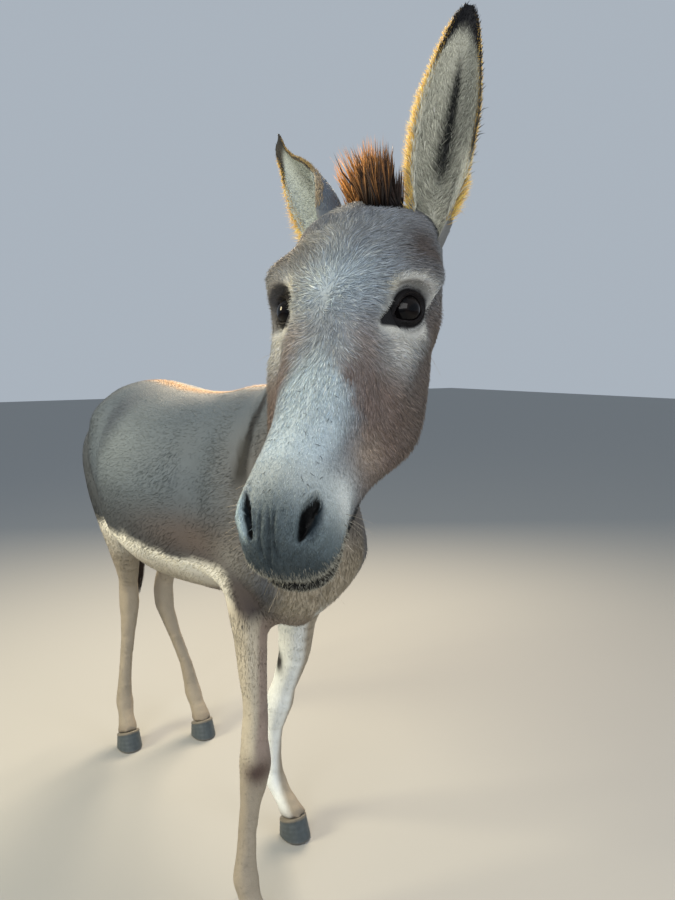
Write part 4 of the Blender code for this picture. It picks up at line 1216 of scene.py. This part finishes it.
def region_of(points):
    """Number of the coat's region at each point: 0 head, 1 neck, 2 trunk, 3 to 6 the legs."""
    b = points - GROUND
    region = np.full(len(points), 2)
    region[(b[:, 1] < -0.16) & (b[:, 2] > 0.80)] = 1
    leg = b[:, 2] < LEG_TOP
    front = b[:, 1] < 0.40
    for number, (fore, left) in enumerate(((1, 0), (1, 1), (0, 0), (0, 1)), 3):
        region[leg & (front == bool(fore)) & ((b[:, 0] > 0) == bool(left))] = number
    region[on_head(points) > 0.5] = 0
    return region


REGIONS = [  # name, tufts, slices, rings, width, lift in degrees
    ("head", 64000, 4, 2, 0.00105, 12),
    ("neck", 24000, 2, 1, 0.0020, 7),
    ("trunk", 74000, 3, 1, 0.0021, 5),
    ("foreleg_right", 8500, 1, 1, 0.0017, 6),
    ("foreleg_left", 7500, 1, 1, 0.0017, 6),
    ("hindleg_right", 7500, 1, 1, 0.0019, 6),
    ("hindleg_left", 7500, 1, 1, 0.0019, 6),
]
region_at = region_of(skin_points)
bare_at = bare(skin_plain)
skin_tree = BVHTree.FromPolygons(skin_points.tolist(), skin_triangles.tolist())


def region_unwrap(name, points):
    if name == "head":
        return around_axis(points, from_head((0, 0, -0.085)), from_head((0, 0.45, -0.085)))
    if name == "neck":
        return around_axis(points, GROUND + (0, 0.10, 0.98), GROUND + (-0.17, -0.45, 1.25))
    if name == "trunk":
        return around_axis(points, GROUND + (0, -0.20, 0.95), GROUND + (0, 0.90, 0.95))
    x, y = LEG_AXES[name]
    return around_axis(points, GROUND + (x, y, 0.0), GROUND + (x, y, 0.7))


def grow_region(number, name, count, slices, rings, width, lift):
    """The coat of one region, as one piece or several slices; returns the number of its triangles."""
    inside = (region_at == number) * (1 - bare_at)
    if name == "head":
        at = to_head(skin_points)
        inside = inside * (1 + 1.4 * step(at[:, 1], 0.36, 0.44)) * (1 - 0.5 * step(at[:, 2], -0.13, -0.17))
        inside = inside * (1 + 1.2 * step(eye_place(skin_plain)[0], 3.0, 2.2))
    corners, shares = scattered(skin_points, skin_triangles, inside, count)
    roots = taken_at(skin_points, corners, shares)
    plain = taken_at(skin_plain, corners, shares)
    normals = unit(taken_at(skin_normals, corners, shares))
    length = hair_length(plain) * rng.uniform(0.75, 1.25, count)
    width_each = width * np.clip(length / 0.014, 0.45, 1.2) * rng.uniform(0.75, 1.25, count)
    messy = step(np.linalg.norm(to_head(roots) - WHORL, axis=1), 0.045, 0.010)[:, None]
    flow = lie_of_coat(roots) + rng.normal(0, 1, (count, 3)) * (0.14 + 0.55 * messy)
    lifts = np.radians(lift) * rng.uniform(0.6, 1.5, count)
    if name == "head":
        lifts = lifted_clear(skin_tree, roots, normals, flow, length, lifts)
    bend = rng.normal(0, 0.10, count)
    root_colour, tip_colour = hair_colours(plain)
    spine = back_line(roots)
    lifts = lifts + math.radians(BACK_LIFT) * spine
    # the tips along the back take a painted warm rim light
    tip_colour = layered(tip_colour, ((BACK_RIM_LIGHT, 0.65 * spine),))
    unwrap = region_unwrap(name, roots)
    order = np.argsort(unwrap[:, 0])
    total = 0
    for i, chosen in enumerate(np.array_split(order, slices)):
        built = tufts(roots[chosen], normals[chosen], flow[chosen], length[chosen], width_each[chosen],
                      lifts[chosen], bend[chosen], rings, ridge=0.7 if name == "head" else 0.3)
        title = f"coat_{name}" + (f"_{i + 1}" if slices > 1 else "")
        piece = coat_piece(title, built, root_colour[chosen], tip_colour[chosen], unwrap[chosen],
                           coat_material, rings)
        total += len(built[1])
    return total


print("coat:", sum(grow_region(number, *region) for number, region in enumerate(REGIONS)), "triangles")

# %% [markdown]
# ## Hair of the ears
#
# The back of an ear wears short hair that runs to the tip. The inside is filled with longer pale hair
# that parts at the fold and sweeps up and outwards, and a soft fringe stands off both edges.

# %% Ear hair
EAR_HAIR = {"back": 3000, "inside": 5200, "fringe": 3800}  # tufts of each kind
# the fringe's warm colour is a painted rim light
EAR_RIM_LIGHT = (248, 206, 110)


def ear_tufts(name, kind, count, ear_normals):
    """One kind of hair on an ear: its tufts, their colours and their places on the unwrap."""
    ear_points, ear_triangles, ear_places = ears[name]
    base, tip, across, opening = ear_frame(name)
    axis_way, across_way, open_way = (unit(v) @ HEAD_AXES for v in (tip - base, across, opening))
    share, place, inside = ear_places.T
    weight = {
        "back": (1 - inside) * step(share, -0.02, 0.02),
        "inside": inside * step(share, 0.0, 0.06),
        "fringe": (np.abs(place) > 0.90) * step(share, 0.02, 0.08),
    }[kind]
    corners, shares = scattered(ear_points, ear_triangles, weight, count)
    roots = taken_at(ear_points, corners, shares)
    normals = unit(taken_at(ear_normals, corners, shares))
    places = taken_at(ear_places, corners, shares)
    along, over = places[:, :1], places[:, 1:2]
    shaggy = 1 - 0.55 * step(along[:, 0], 0.35, 0.85)
    colour = ear_colour(places, name)
    if kind == "back":
        flow = axis_way + across_way * over * 0.25
        length, width, lift, droop = 0.0075 * shaggy, 0.0011, 14, 0.55
    elif kind == "inside":
        parted = over - EAR_FOLD_PLACE + rng.normal(0, 0.09, (count, 1))
        sweep = np.tanh(parted / 0.06) * (0.35 + 0.9 * (1 - along))
        flow = axis_way * (0.55 + along) + across_way * sweep
        length, width, lift, droop = 0.0150 * shaggy, 0.0011, 24, 0.5
        length = length * (0.6 if name == "ear_right" else 1)
    else:
        lower = step(along[:, 0], 0.30, 0.18) * (name == "ear_left")
        longest = 1.5 if name == "ear_right" else 1.1
        thick = np.where(over[:, 0] * left_edge(name) > 0, longest, 0.30 + 0.70 * lower)
        out = across_way * np.sign(over) - open_way * 0.1
        flow = out * 1.0 + axis_way * 0.75
        normals = unit(out + 0.4 * normals)
        length = 0.0150 * shaggy * step(along[:, 0], 1.05, 0.8) * thick + 0.002
        width, lift, droop = 0.0008, 48, 0.2
        golden = np.minimum(thick, 1.05) if name == "ear_right" else 1.0
        # painted warm rim light on the fringe, below the tip
        colour = layered(colour, ((EAR_RIM_LIGHT, 0.92 * golden * step(along[:, 0], 0.99, 0.86)),))
    flow = flow + rng.normal(0, 0.20, (count, 3))
    length = length * rng.uniform(0.65, 1.3, count)
    widths = width * rng.uniform(0.7, 1.3, count)
    lifts = np.radians(lift) * rng.uniform(0.6, 1.3, count)
    bend = rng.normal(0, 0.15, count)
    built = tufts(roots, normals, flow, length, widths, lifts, bend, 2, droop)
    light = np.exp(rng.normal(0, 0.20, count))[:, None]
    unwrap = np.column_stack((over[:, 0] * 0.25 + 0.5 * places[:, 2], along[:, 0]))
    return built, np.clip(colour * light, 0, 1), unwrap


def ear_hair(name):
    """All the hair of one ear as one piece; returns the number of its triangles."""
    mesh = mesh_from("ear_normals", *ears[name][:2])
    ear_normals = normals_of(mesh)
    bpy.data.meshes.remove(mesh)
    kinds = [ear_tufts(name, kind, count, ear_normals) for kind, count in EAR_HAIR.items()]
    built, colours, unwraps = zip(*kinds)
    parts, faces, along = zip(*built)
    offsets = np.cumsum([0] + [len(part) for part in parts[:-1]])
    triangles = np.vstack([face + offset for face, offset in zip(faces, offsets)])
    colours = np.vstack(colours)
    piece = coat_piece(f"coat_{name}", (np.vstack(parts), triangles, np.concatenate(along)),
                       colours * 0.55, colours * 1.1, np.vstack(unwraps), coat_material, 2)
    return len(triangles)


print("ear hair:", sum(ear_hair(name) for name in EARS), "triangles")

# %% [markdown]
# ## Mane and tail
#
# A donkey's mane stands upright, stiff and short, tallest between the ears. Its strands root on the
# crest of the neck and reach as far as the imported mane does, so the silhouette is the same. The tail is
# bare of long hair down to its last third, where a hanging tuft grows.

# %% Mane
# long hair: dark roots, brown tips, and a painted warm rim light on the tips
LONG_DARK, LONG_BROWN, LONG_RIM_LIGHT = (16, 14, 15), (70, 52, 42), (240, 168, 92)
MANE_STRANDS, FORELOCK_STRANDS = 4600, 800
MANE_TRIES = 26000  # places tried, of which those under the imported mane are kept
FORELOCK = (0.023, 0.020, -0.018)  # the middle of the tuft in front of the mane, beside the left ear


def on_skin(weight, count):
    corners, shares = scattered(skin_points, skin_triangles, weight, count)
    return taken_at(skin_points, corners, shares), unit(taken_at(skin_normals, corners, shares))


def solid_tree(name):
    body = bmesh.new()
    body.from_mesh(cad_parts[name].data)
    bmesh.ops.remove_doubles(body, verts=body.verts, dist=1e-5)
    tree = BVHTree.FromBMesh(body)
    body.free()
    return tree


def heights_in_mane(roots, ways):
    """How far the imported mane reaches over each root, along its way; 0 where it isn't above the root."""
    tree = solid_tree("mane")
    heights = np.zeros(len(roots))
    for i, (root, way) in enumerate(zip(roots, ways)):
        start, way = Vector(root), Vector(way)
        below = tree.ray_cast(start, way, 0.03)
        if below[0] is not None:
            top = tree.ray_cast(below[0] + way * 0.0005, way, 0.2)
            heights[i] = (top[0] - start).length if top[0] is not None else 0
    return heights


def mane_strands():
    """Root, way and height of each strand, and whether it belongs to the forelock."""
    low, high = (np.array(v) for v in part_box("mane"))
    near = ((skin_points > low - 0.01) & (skin_points < high + 0.01)).all(axis=1)
    roots, normals = on_skin(near.astype(float), MANE_TRIES)
    ways = unit(normals * 0.55 + np.array((0, 0, 1.0)))
    heights = heights_in_mane(roots, ways)
    chosen = np.flatnonzero(heights > 0.004)
    chosen = chosen[:: max(1, len(chosen) // MANE_STRANDS)]
    tuft = blob(to_head(skin_points), FORELOCK, (0.020, 0.016, 0.02)) > 0.25
    more, more_normals = on_skin(tuft.astype(float), FORELOCK_STRANDS)
    roots = np.vstack((roots[chosen], more))
    ways = np.vstack((ways[chosen], unit(more_normals * 0.3 + np.array((0, 0, 1.0)))))
    heights = np.append(heights[chosen], rng.uniform(0.030, 0.058, len(more)))
    return roots, ways, heights, np.arange(len(roots)) >= len(chosen)


def make_mane():
    roots, ways, heights, lock = mane_strands()
    count = len(roots)
    trend = np.polynomial.polynomial.Polynomial.fit(roots[~lock, 1], roots[~lock, 0], 3)
    off_middle = np.where(lock, 0, roots[:, 0] - trend(roots[:, 1]))
    spread = np.column_stack((off_middle * 9.0, np.full(count, 0.10), np.ones(count)))
    front = step(roots[:, 1], -0.58, -0.64)
    clump = np.clip(3.2 * (noise(roots, 0.010, 41) - 0.5) - 0.36 - 0.10 * lock, -1.0, 0.0)
    fan = clump[:, None] * VIEW_RIGHT
    way = unit(ways + spread * 0.6 + rng.normal(0, 0.07, (count, 3)) + front[:, None] * fan)
    length = heights * rng.uniform(0.80, 1.10, count) * (1 + 0.30 * front) + 0.004
    over = (roots - from_head(FORELOCK)) @ VIEW_RIGHT
    length = length * (1 - 0.35 * step(over, 0.0, 0.020) * lock)
    side = unit(np.cross(way, rng.normal(0, 1, (count, 3))))
    paths = np.empty((count, 4, 3))
    for i, share in enumerate(np.linspace(0, 1, 4)):
        sway = side * (length * rng.normal(0, 0.03, count) * share)[:, None]
        paths[:, i] = roots - way * 0.003 + way * (length * share)[:, None] + sway
    built = spikes(paths, side, unit(np.cross(way, side)), rng.uniform(0.0011, 0.0023, count))
    light = np.exp(rng.normal(0, 0.25, count))[:, None]
    # painted warm rim light on the tips, taken off the forelock's side towards the camera's right
    gold = np.where(lock, rng.uniform(-0.3, 0.9, count), front * 0.8 + 0.2)[:, None]
    gold = gold - 0.9 * (step(over, -0.004, 0.014) * lock)[:, None]
    tips = layered(flat_colour(LONG_BROWN, roots), ((LONG_RIM_LIGHT, gold[:, 0]),)) * light
    piece = coat_piece("mane_hair", built, flat_colour(LONG_DARK, roots) * light, tips,
                       np.column_stack((off_middle, roots[:, 1])), coat_material, 3, 2.0)
    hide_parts("mane")
    return count


print("mane:", make_mane(), "strands")

# %% Tail tuft
TAIL_STRANDS = 900
TAIL_TOPS = (0.715, 0.800)  # the strands start between these heights
TAIL_HEIGHTS = np.array((0.395, 0.430, 0.500, 0.600, 0.700, 0.740, 0.800))
TAIL_RADII = np.array((0.004, 0.014, 0.026, 0.030, 0.023, 0.019, 0.016))
TAIL_MIDDLE = np.array(((0.015, 1.013), (0.015, 1.014), (0.014, 1.016), (0.013, 1.017), (0.011, 1.017),
                        (0.0102, 1.0165), (0.009, 1.016)))


def make_tail_tuft():
    count, rings = TAIL_STRANDS, 7
    top = rng.uniform(*TAIL_TOPS, count)
    end = TAIL_HEIGHTS[0] + 0.20 * rng.random(count) ** 1.6
    turn = rng.uniform(0, 2 * math.pi, count)
    depth = np.sqrt(rng.uniform(0.10, 1.0, count))
    paths = np.empty((count, rings + 1, 3))
    for i, share in enumerate(np.linspace(0, 1, rings + 1)):
        height = top + (end - top) * share
        inner = np.where(share == 0, 0.85, depth) * np.interp(height, TAIL_HEIGHTS, TAIL_RADII)
        angle = turn + 0.25 * share
        x = GROUND[0] + np.interp(height, TAIL_HEIGHTS, TAIL_MIDDLE[:, 0]) + inner * np.cos(angle)
        y = GROUND[1] + np.interp(height, TAIL_HEIGHTS, TAIL_MIDDLE[:, 1]) + inner * np.sin(angle)
        paths[:, i] = np.column_stack((x, y, height)) + rng.normal(0, 0.0010, (count, 3)) * share
    side = np.column_stack((-np.sin(turn), np.cos(turn), np.zeros(count)))
    out = np.column_stack((np.cos(turn), np.sin(turn), np.zeros(count)))
    built = spikes(paths, side, out, rng.uniform(0.0022, 0.0042, count))
    light = np.exp(rng.normal(0, 0.28, count))[:, None]
    roots, tips = (flat_colour(colour, side) * light for colour in ((62, 54, 50), (48, 38, 34)))
    unwrap = np.column_stack((turn, top + 0.02 * depth))
    piece = coat_piece("tail_hair", built, roots, tips, unwrap, coat_material, rings)
    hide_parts("tail_tuft")
    return count


print("tail:", make_tail_tuft(), "strands")

# %% [markdown]
# ## Lashes, whiskers and bristles
#
# Stiff single hairs are what makes a face look alive: dark lashes over each eye, long pale feelers on
# the muzzle and under the eyes, and short bristles on both lips. They are the same closed spikes, only
# longer and thinner, and they stand off the skin.

# %% Stiff hairs
def stiff_hairs(name, roots, ways, length, width, root, tip, curve, rings=4):
    """Closed spikes that stand off the skin and bend by `curve`, from one screen colour to another."""
    count = len(roots)
    ways = unit(ways)
    side = unit(np.cross(ways, curve))
    paths = np.empty((count, rings + 1, 3))
    for i, share in enumerate(np.linspace(0, 1, rings + 1)):
        paths[:, i] = roots + ways * (length * share - 0.0015)[:, None] + curve * (length * share**2)[:, None]
    built = spikes(paths, side, unit(np.cross(side, ways)), width)
    shade = np.exp(rng.normal(0, 0.2, count))[:, None]
    piece = coat_piece(name, built, srgb(*root) * shade, np.clip(srgb(*tip) * shade, 0, 1),
                       to_head(roots)[:, :2], coat_material, rings)
    print(name + ":", count)


def make_lashes():
    roots, ways, curves = [], [], []
    for side in (-1, 1):
        for low, high, count, rise in ((0.12, 0.86, 64, 1), (1.25, 1.75, 16, -0.6)):
            angle = np.pi * rng.uniform(low, high, count)
            reach = lid_edge(angle) + 0.0012
            local = np.column_stack((reach * np.cos(angle), reach * np.sin(angle), lid_surface(reach)))
            away = np.column_stack((np.cos(angle) * 0.7, np.sin(angle) * 0.5, np.full(count, 1.25)))
            away += rng.normal(0, 0.12, (count, 3))
            roots.append(from_eye(local, side))
            ways.append(from_eye(local + away, side) - from_eye(local, side))
            down = np.column_stack((np.zeros(count), np.full(count, -0.35 * rise), np.zeros(count)))
            curves.append(from_eye(local + down, side) - from_eye(local, side))
    roots, ways, curves = np.vstack(roots), np.vstack(ways), np.vstack(curves)
    count = len(roots)
    stiff_hairs("lashes", roots, ways, rng.uniform(0.006, 0.010, count), np.full(count, 0.00045),
                (18, 16, 18), (60, 52, 46), curves)


def make_feelers():
    m = mirrored(to_head(skin_points))
    places = blob(m, (0.052, 0.430, -0.070), (0.014, 0.030, 0.024))
    places += 0.7 * blob(m, (0.02, 0.470, -0.130), (0.03, 0.02, 0.016))
    places += 0.10 * blob(m, (0.088, 0.215, -0.085), (0.014, 0.020, 0.012))
    roots, normals = on_skin(np.where(places > 0.25, places, np.where(m[:, 1] < 0.25, places, 0)), 48)
    count = len(roots)
    way = normals + np.array((0, 0.25, -0.25)) @ HEAD_AXES + rng.normal(0, 0.25, (count, 3))
    curve = np.broadcast_to(np.array((0, 0.05, -0.18)) @ HEAD_AXES, (count, 3))
    stiff_hairs("feelers", roots, way, rng.uniform(0.012, 0.034, count), rng.uniform(0.0003, 0.0005, count),
                (120, 112, 100), (190, 182, 166), curve)


def make_bristles():
    at = to_head(skin_points)
    lip = step(at[:, 1], 0.42, 0.46) * step(at[:, 2], -0.060, -0.080)
    lip = lip * (1 - bare_at) * (on_head(skin_points) > 0.5)
    roots, normals = on_skin(lip, 3000)
    count = len(roots)
    way = normals * 0.8 + np.array((0, 0.15, -0.9)) @ HEAD_AXES + rng.normal(0, 0.22, (count, 3))
    curve = np.broadcast_to(np.array((0, -0.10, -0.15)) @ HEAD_AXES, (count, 3))
    stiff_hairs("lip_bristles", roots, way, rng.uniform(0.003, 0.0085, count),
                rng.uniform(0.0003, 0.0006, count), (96, 98, 96), (200, 198, 184), curve, rings=2)


def make_dark_hairs():
    """A sprinkle of single dark hairs down the pale bridge of the nose."""
    m = mirrored(to_head(skin_points))
    l, n, d = m.T
    bridge = step(l, 0.040, 0.015) * step(n, 0.25, 0.30) * step(n, 0.45, 0.42) * step(d, -0.05, -0.03)
    roots, normals = on_skin(bridge * (on_head(skin_points) > 0.5), 50)
    count = len(roots)
    way = np.array((0, 1.0, 0)) @ HEAD_AXES + rng.normal(0, 0.75, (count, 3))
    built = tufts(roots + normals * 0.0016, normals, way, rng.uniform(0.003, 0.008, count),
                  rng.uniform(0.0004, 0.0007, count), np.full(count, 0.16), rng.normal(0, 0.4, count), 2)
    dark = flat_colour((40, 42, 46), roots)
    piece = coat_piece("dark_hairs", built, dark, dark, to_head(roots)[:, :2], coat_material, 2)
    print("dark_hairs:", count)


make_lashes()
make_feelers()
make_bristles()
make_dark_hairs()

# %% [markdown]
# ## Eyes
#
# A donkey's eye is a large dark ball with a clearer bulge in front. The iris is so dark a brown that the
# wide level pupil hardly shows in it. The shine does the rest, so the surface is very smooth.

# %% Eyes
EYE_SOCKETS = {"Roughness": 0.06, "IOR": 1.33, "Specular IOR Level": 0.3,
               "Coat Weight": 0.05, "Coat Roughness": 0.02}


def make_eye(side, name):
    select_only()
    bpy.ops.mesh.primitive_uv_sphere_add(segments=72, ring_count=48, radius=1)
    eye = bpy.context.active_object
    eye.name = name
    ball = points_of(eye.data)
    away = np.hypot(ball[:, 0], ball[:, 1])
    cornea = np.where(ball[:, 2] > 0, 0.0009 * step(away, 0.66, 0.30), 0)
    pupil = np.hypot(ball[:, 0] / 0.34, ball[:, 1] / 0.19)
    rays = 0.5 + 0.5 * np.sin(np.arctan2(ball[:, 1], ball[:, 0]) * 40)
    colour = layered(flat_colour((8, 7, 8), ball), (
        ((20, 15, 13), step(away, 0.62, 0.45) * (0.5 + 0.3 * rays) * (ball[:, 2] > 0)),  # iris
        ((3, 3, 5), step(pupil, 1.08, 0.90) * (ball[:, 2] > 0)),
        ((30, 26, 26), step(away, 0.84, 0.94) * 0.6),  # edge
    ))
    shape = ball * (EYE_RADIUS - 0.0002) + ball * cornea[:, None]
    move_points(eye.data, from_eye(shape, side))
    if side < 0:
        eye.data.flip_normals()
    smooth_faces(eye.data)
    paint(eye.data, colour, "eye_colour")
    eye.data.materials.append(eye_material)
    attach(eye, "root")
    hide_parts("eye_left" if side > 0 else "eye_right")
    print(name, len(ball), "points, centre", np.round(from_eye(np.zeros((1, 3)), side)[0], 3))


def glossy_eye_material():
    finish, shader = new_material("eye", EYE_SOCKETS)
    colour = add_node(finish, "Attribute")
    colour.attribute_name = "eye_colour"
    finish.node_tree.links.new(colour.outputs["Color"], shader.inputs["Base Color"])
    return finish


eye_material = glossy_eye_material()
make_eye(1, "left_eye_ball")
make_eye(-1, "right_eye_ball")

# %% [markdown]
# ## Hooves
#
# A hoof is a slanting wall of horn with fine growth rings, a soft band where the skin ends at its top
# and a worn, rounded edge on the ground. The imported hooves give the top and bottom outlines, and a
# finer wall is lofted between them.

# %% Hooves
HOOF_AROUND = 96
HOOF_RINGS = 30
HOOF_WEAR, HOOF_RIPPLE, HOOF_BAND = 0.0030, 0.00025, 0.0010  # depths and height of edge, rings and band


def outline_of(points, middle):
    """A closed smooth outline through points, at even angles about the middle."""
    turn = np.arctan2(points[:, 0] - middle[0], middle[1] - points[:, 1])
    points = points[np.argsort(turn)]
    turn = np.sort(turn)
    at = np.linspace(-math.pi, math.pi, HOOF_AROUND, endpoint=False)
    return np.column_stack([np.interp(at, turn, points[:, axis], period=2 * math.pi) for axis in range(3)])


def make_hoof(name):
    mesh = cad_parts[name].data
    corners = np.unique(points_of(mesh).round(5), axis=0)
    sole, top = corners[corners[:, 2] < 0.002], corners[corners[:, 2] >= 0.002]
    middle = sole.mean(axis=0)
    sole = outline_of(sole, middle)
    top = outline_of(top, top.mean(axis=0))
    for _ in range(3):
        sole = (np.roll(sole, 1, axis=0) + 2 * sole + np.roll(sole, -1, axis=0)) / 4
        top = (np.roll(top, 1, axis=0) + 2 * top + np.roll(top, -1, axis=0)) / 4
    heights = np.linspace(0, 1, HOOF_RINGS)
    rings = []
    for share in heights:
        ring = sole + (top - sole) * share
        out = ring - ring.mean(axis=0)
        out[:, 2] = 0
        out = unit(out)
        worn = -HOOF_WEAR * (1 - min(1, share / 0.07)) ** 2
        growth = HOOF_RIPPLE * math.sin(share * 30) * step(share, 0.04, 0.12) * step(share, 0.92, 0.80)
        band = HOOF_BAND * bump(share, 0.93, 0.05)
        rings.append(ring + out * (worn + growth + band - 0.0006))
    inner = rings[0].mean(axis=0)
    hollow = inner + (rings[0] - inner) * 0.62 + (0, 0, 0.0025)
    crown = rings[-1].mean(axis=0)
    points = np.vstack((hollow, *rings, inner + (0, 0, 0.003), crown))
    ends = np.arange(HOOF_AROUND)
    after = np.roll(ends, -1)
    last = HOOF_RINGS * HOOF_AROUND
    bottom = np.column_stack((after, ends, np.full(HOOF_AROUND, len(points) - 2)))
    above = np.column_stack((last + ends, last + after, np.full(HOOF_AROUND, len(points) - 1)))
    triangles = faced_out(points, np.vstack((halved(lofted(HOOF_RINGS + 1, HOOF_AROUND)), bottom, above)))
    share = np.concatenate((np.zeros(HOOF_AROUND), np.repeat(heights, HOOF_AROUND), [0], [1]))
    stripes = noise(points * (1, 1, 0.15), 0.004, 5)
    colour = layered(flat_colour((70, 78, 82), points) * (0.88 + 0.24 * stripes)[:, None], (
        ((120, 112, 98), step(share, 0.86, 0.95) * 0.8),  # soft band at the top
        ((112, 104, 92), step(share, 0.14, 0.0) * 0.7),  # worn edge
    ))
    hoof_mesh = mesh_from(name + "_horn", points, triangles)
    paint(hoof_mesh, colour)
    piece = object_of(name + "_horn", hoof_mesh, hoof_material)
    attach(piece, "root")
    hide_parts(name)


hoof_material = hair_material("hoof", 0.45, 90.0, 0.0004, 0.35)
for pair in ("fore", "hind"):
    for side in ("left", "right"):
        make_hoof(f"{pair}hoof_{side}")
print("hooves:", HOOF_RINGS, "rings of", HOOF_AROUND, "points each")

# %% [markdown]
# ## Camera, floor and light
#
# The camera stands a little above the animal's right shoulder and looks slightly down at it. The light
# is a soft studio sky, brightest behind the animal, where it draws a pale rim on the ears and the mane.

# %% Camera, floor and light
CAMERA_YAW = math.radians(34.4)
CAMERA_DIP = math.radians(7.6)
CAMERA_SPOT = GROUND + np.array((-0.68899, -1.23104, 1.2))
CAMERA_LENS = 27.04


def set_camera():
    camera = bpy.data.cameras.new("camera")
    camera.lens = CAMERA_LENS
    camera.clip_start = 0.01
    holder = bpy.data.objects.new("camera", camera)
    bpy.context.scene.collection.objects.link(holder)
    level = math.cos(CAMERA_DIP)
    look = Vector((math.sin(CAMERA_YAW) * level, math.cos(CAMERA_YAW) * level, -math.sin(CAMERA_DIP)))
    holder.location = CAMERA_SPOT
    holder.rotation_euler = look.to_track_quat("-Z", "Y").to_euler()
    bpy.context.scene.camera = holder


def lay_floor():
    select_only()
    bpy.ops.mesh.primitive_plane_add(size=40, location=(0, 0, 0))
    floor = bpy.context.active_object
    floor.name = "floor"
    finish, _ = new_material("floor", {"Base Color": (*srgb(150, 152, 152), 1), "Roughness": 0.9})
    floor.data.materials.append(finish)


LIGHTS = (  # name, place, what it points at, size, power and colour
    ("key", (-3.0, -3.0, 3.2), (-0.1, -0.5, 1.1), 3.0, 125, (1.0, 0.98, 0.96)),
    ("rim", (1.4, 1.9, 2.6), (-0.1, -0.6, 1.4), 1.2, 170, (1.0, 0.80, 0.55)),
    ("side_rim", (-2.4, 1.1, 2.3), (-0.2, -0.6, 1.3), 0.9, 110, (1.0, 0.86, 0.56)),
    ("fill", (1.3, -2.4, 1.5), (-0.2, -0.7, 1.1), 1.6, 28, (1.0, 0.98, 0.94)),
)


def area_light(name, place, aim, size, power, colour):
    light = bpy.data.lights.new(name, "AREA")
    light.size = size
    light.energy = power
    light.color = colour
    holder = bpy.data.objects.new(name, light)
    bpy.context.scene.collection.objects.link(holder)
    holder.location = place
    holder.rotation_euler = (Vector(aim) - Vector(place)).to_track_quat("-Z", "Y").to_euler()
    holder.visible_glossy = name != "fill"  # so that the eyes show one window, not two


def set_light():
    world = bpy.data.worlds.new("studio")
    world.use_nodes = True
    sky = {"Color": (*srgb(205, 216, 228), 1), "Strength": 0.66}
    set_sockets(world.node_tree.nodes["Background"], sky)
    bpy.context.scene.world = world
    for light in LIGHTS:
        area_light(*light)


set_camera()
lay_floor()
set_light()
bpy.context.scene.view_settings.view_transform = "Standard"
print("camera at", CAMERA_SPOT.round(3), "and", len(LIGHTS), "lights")
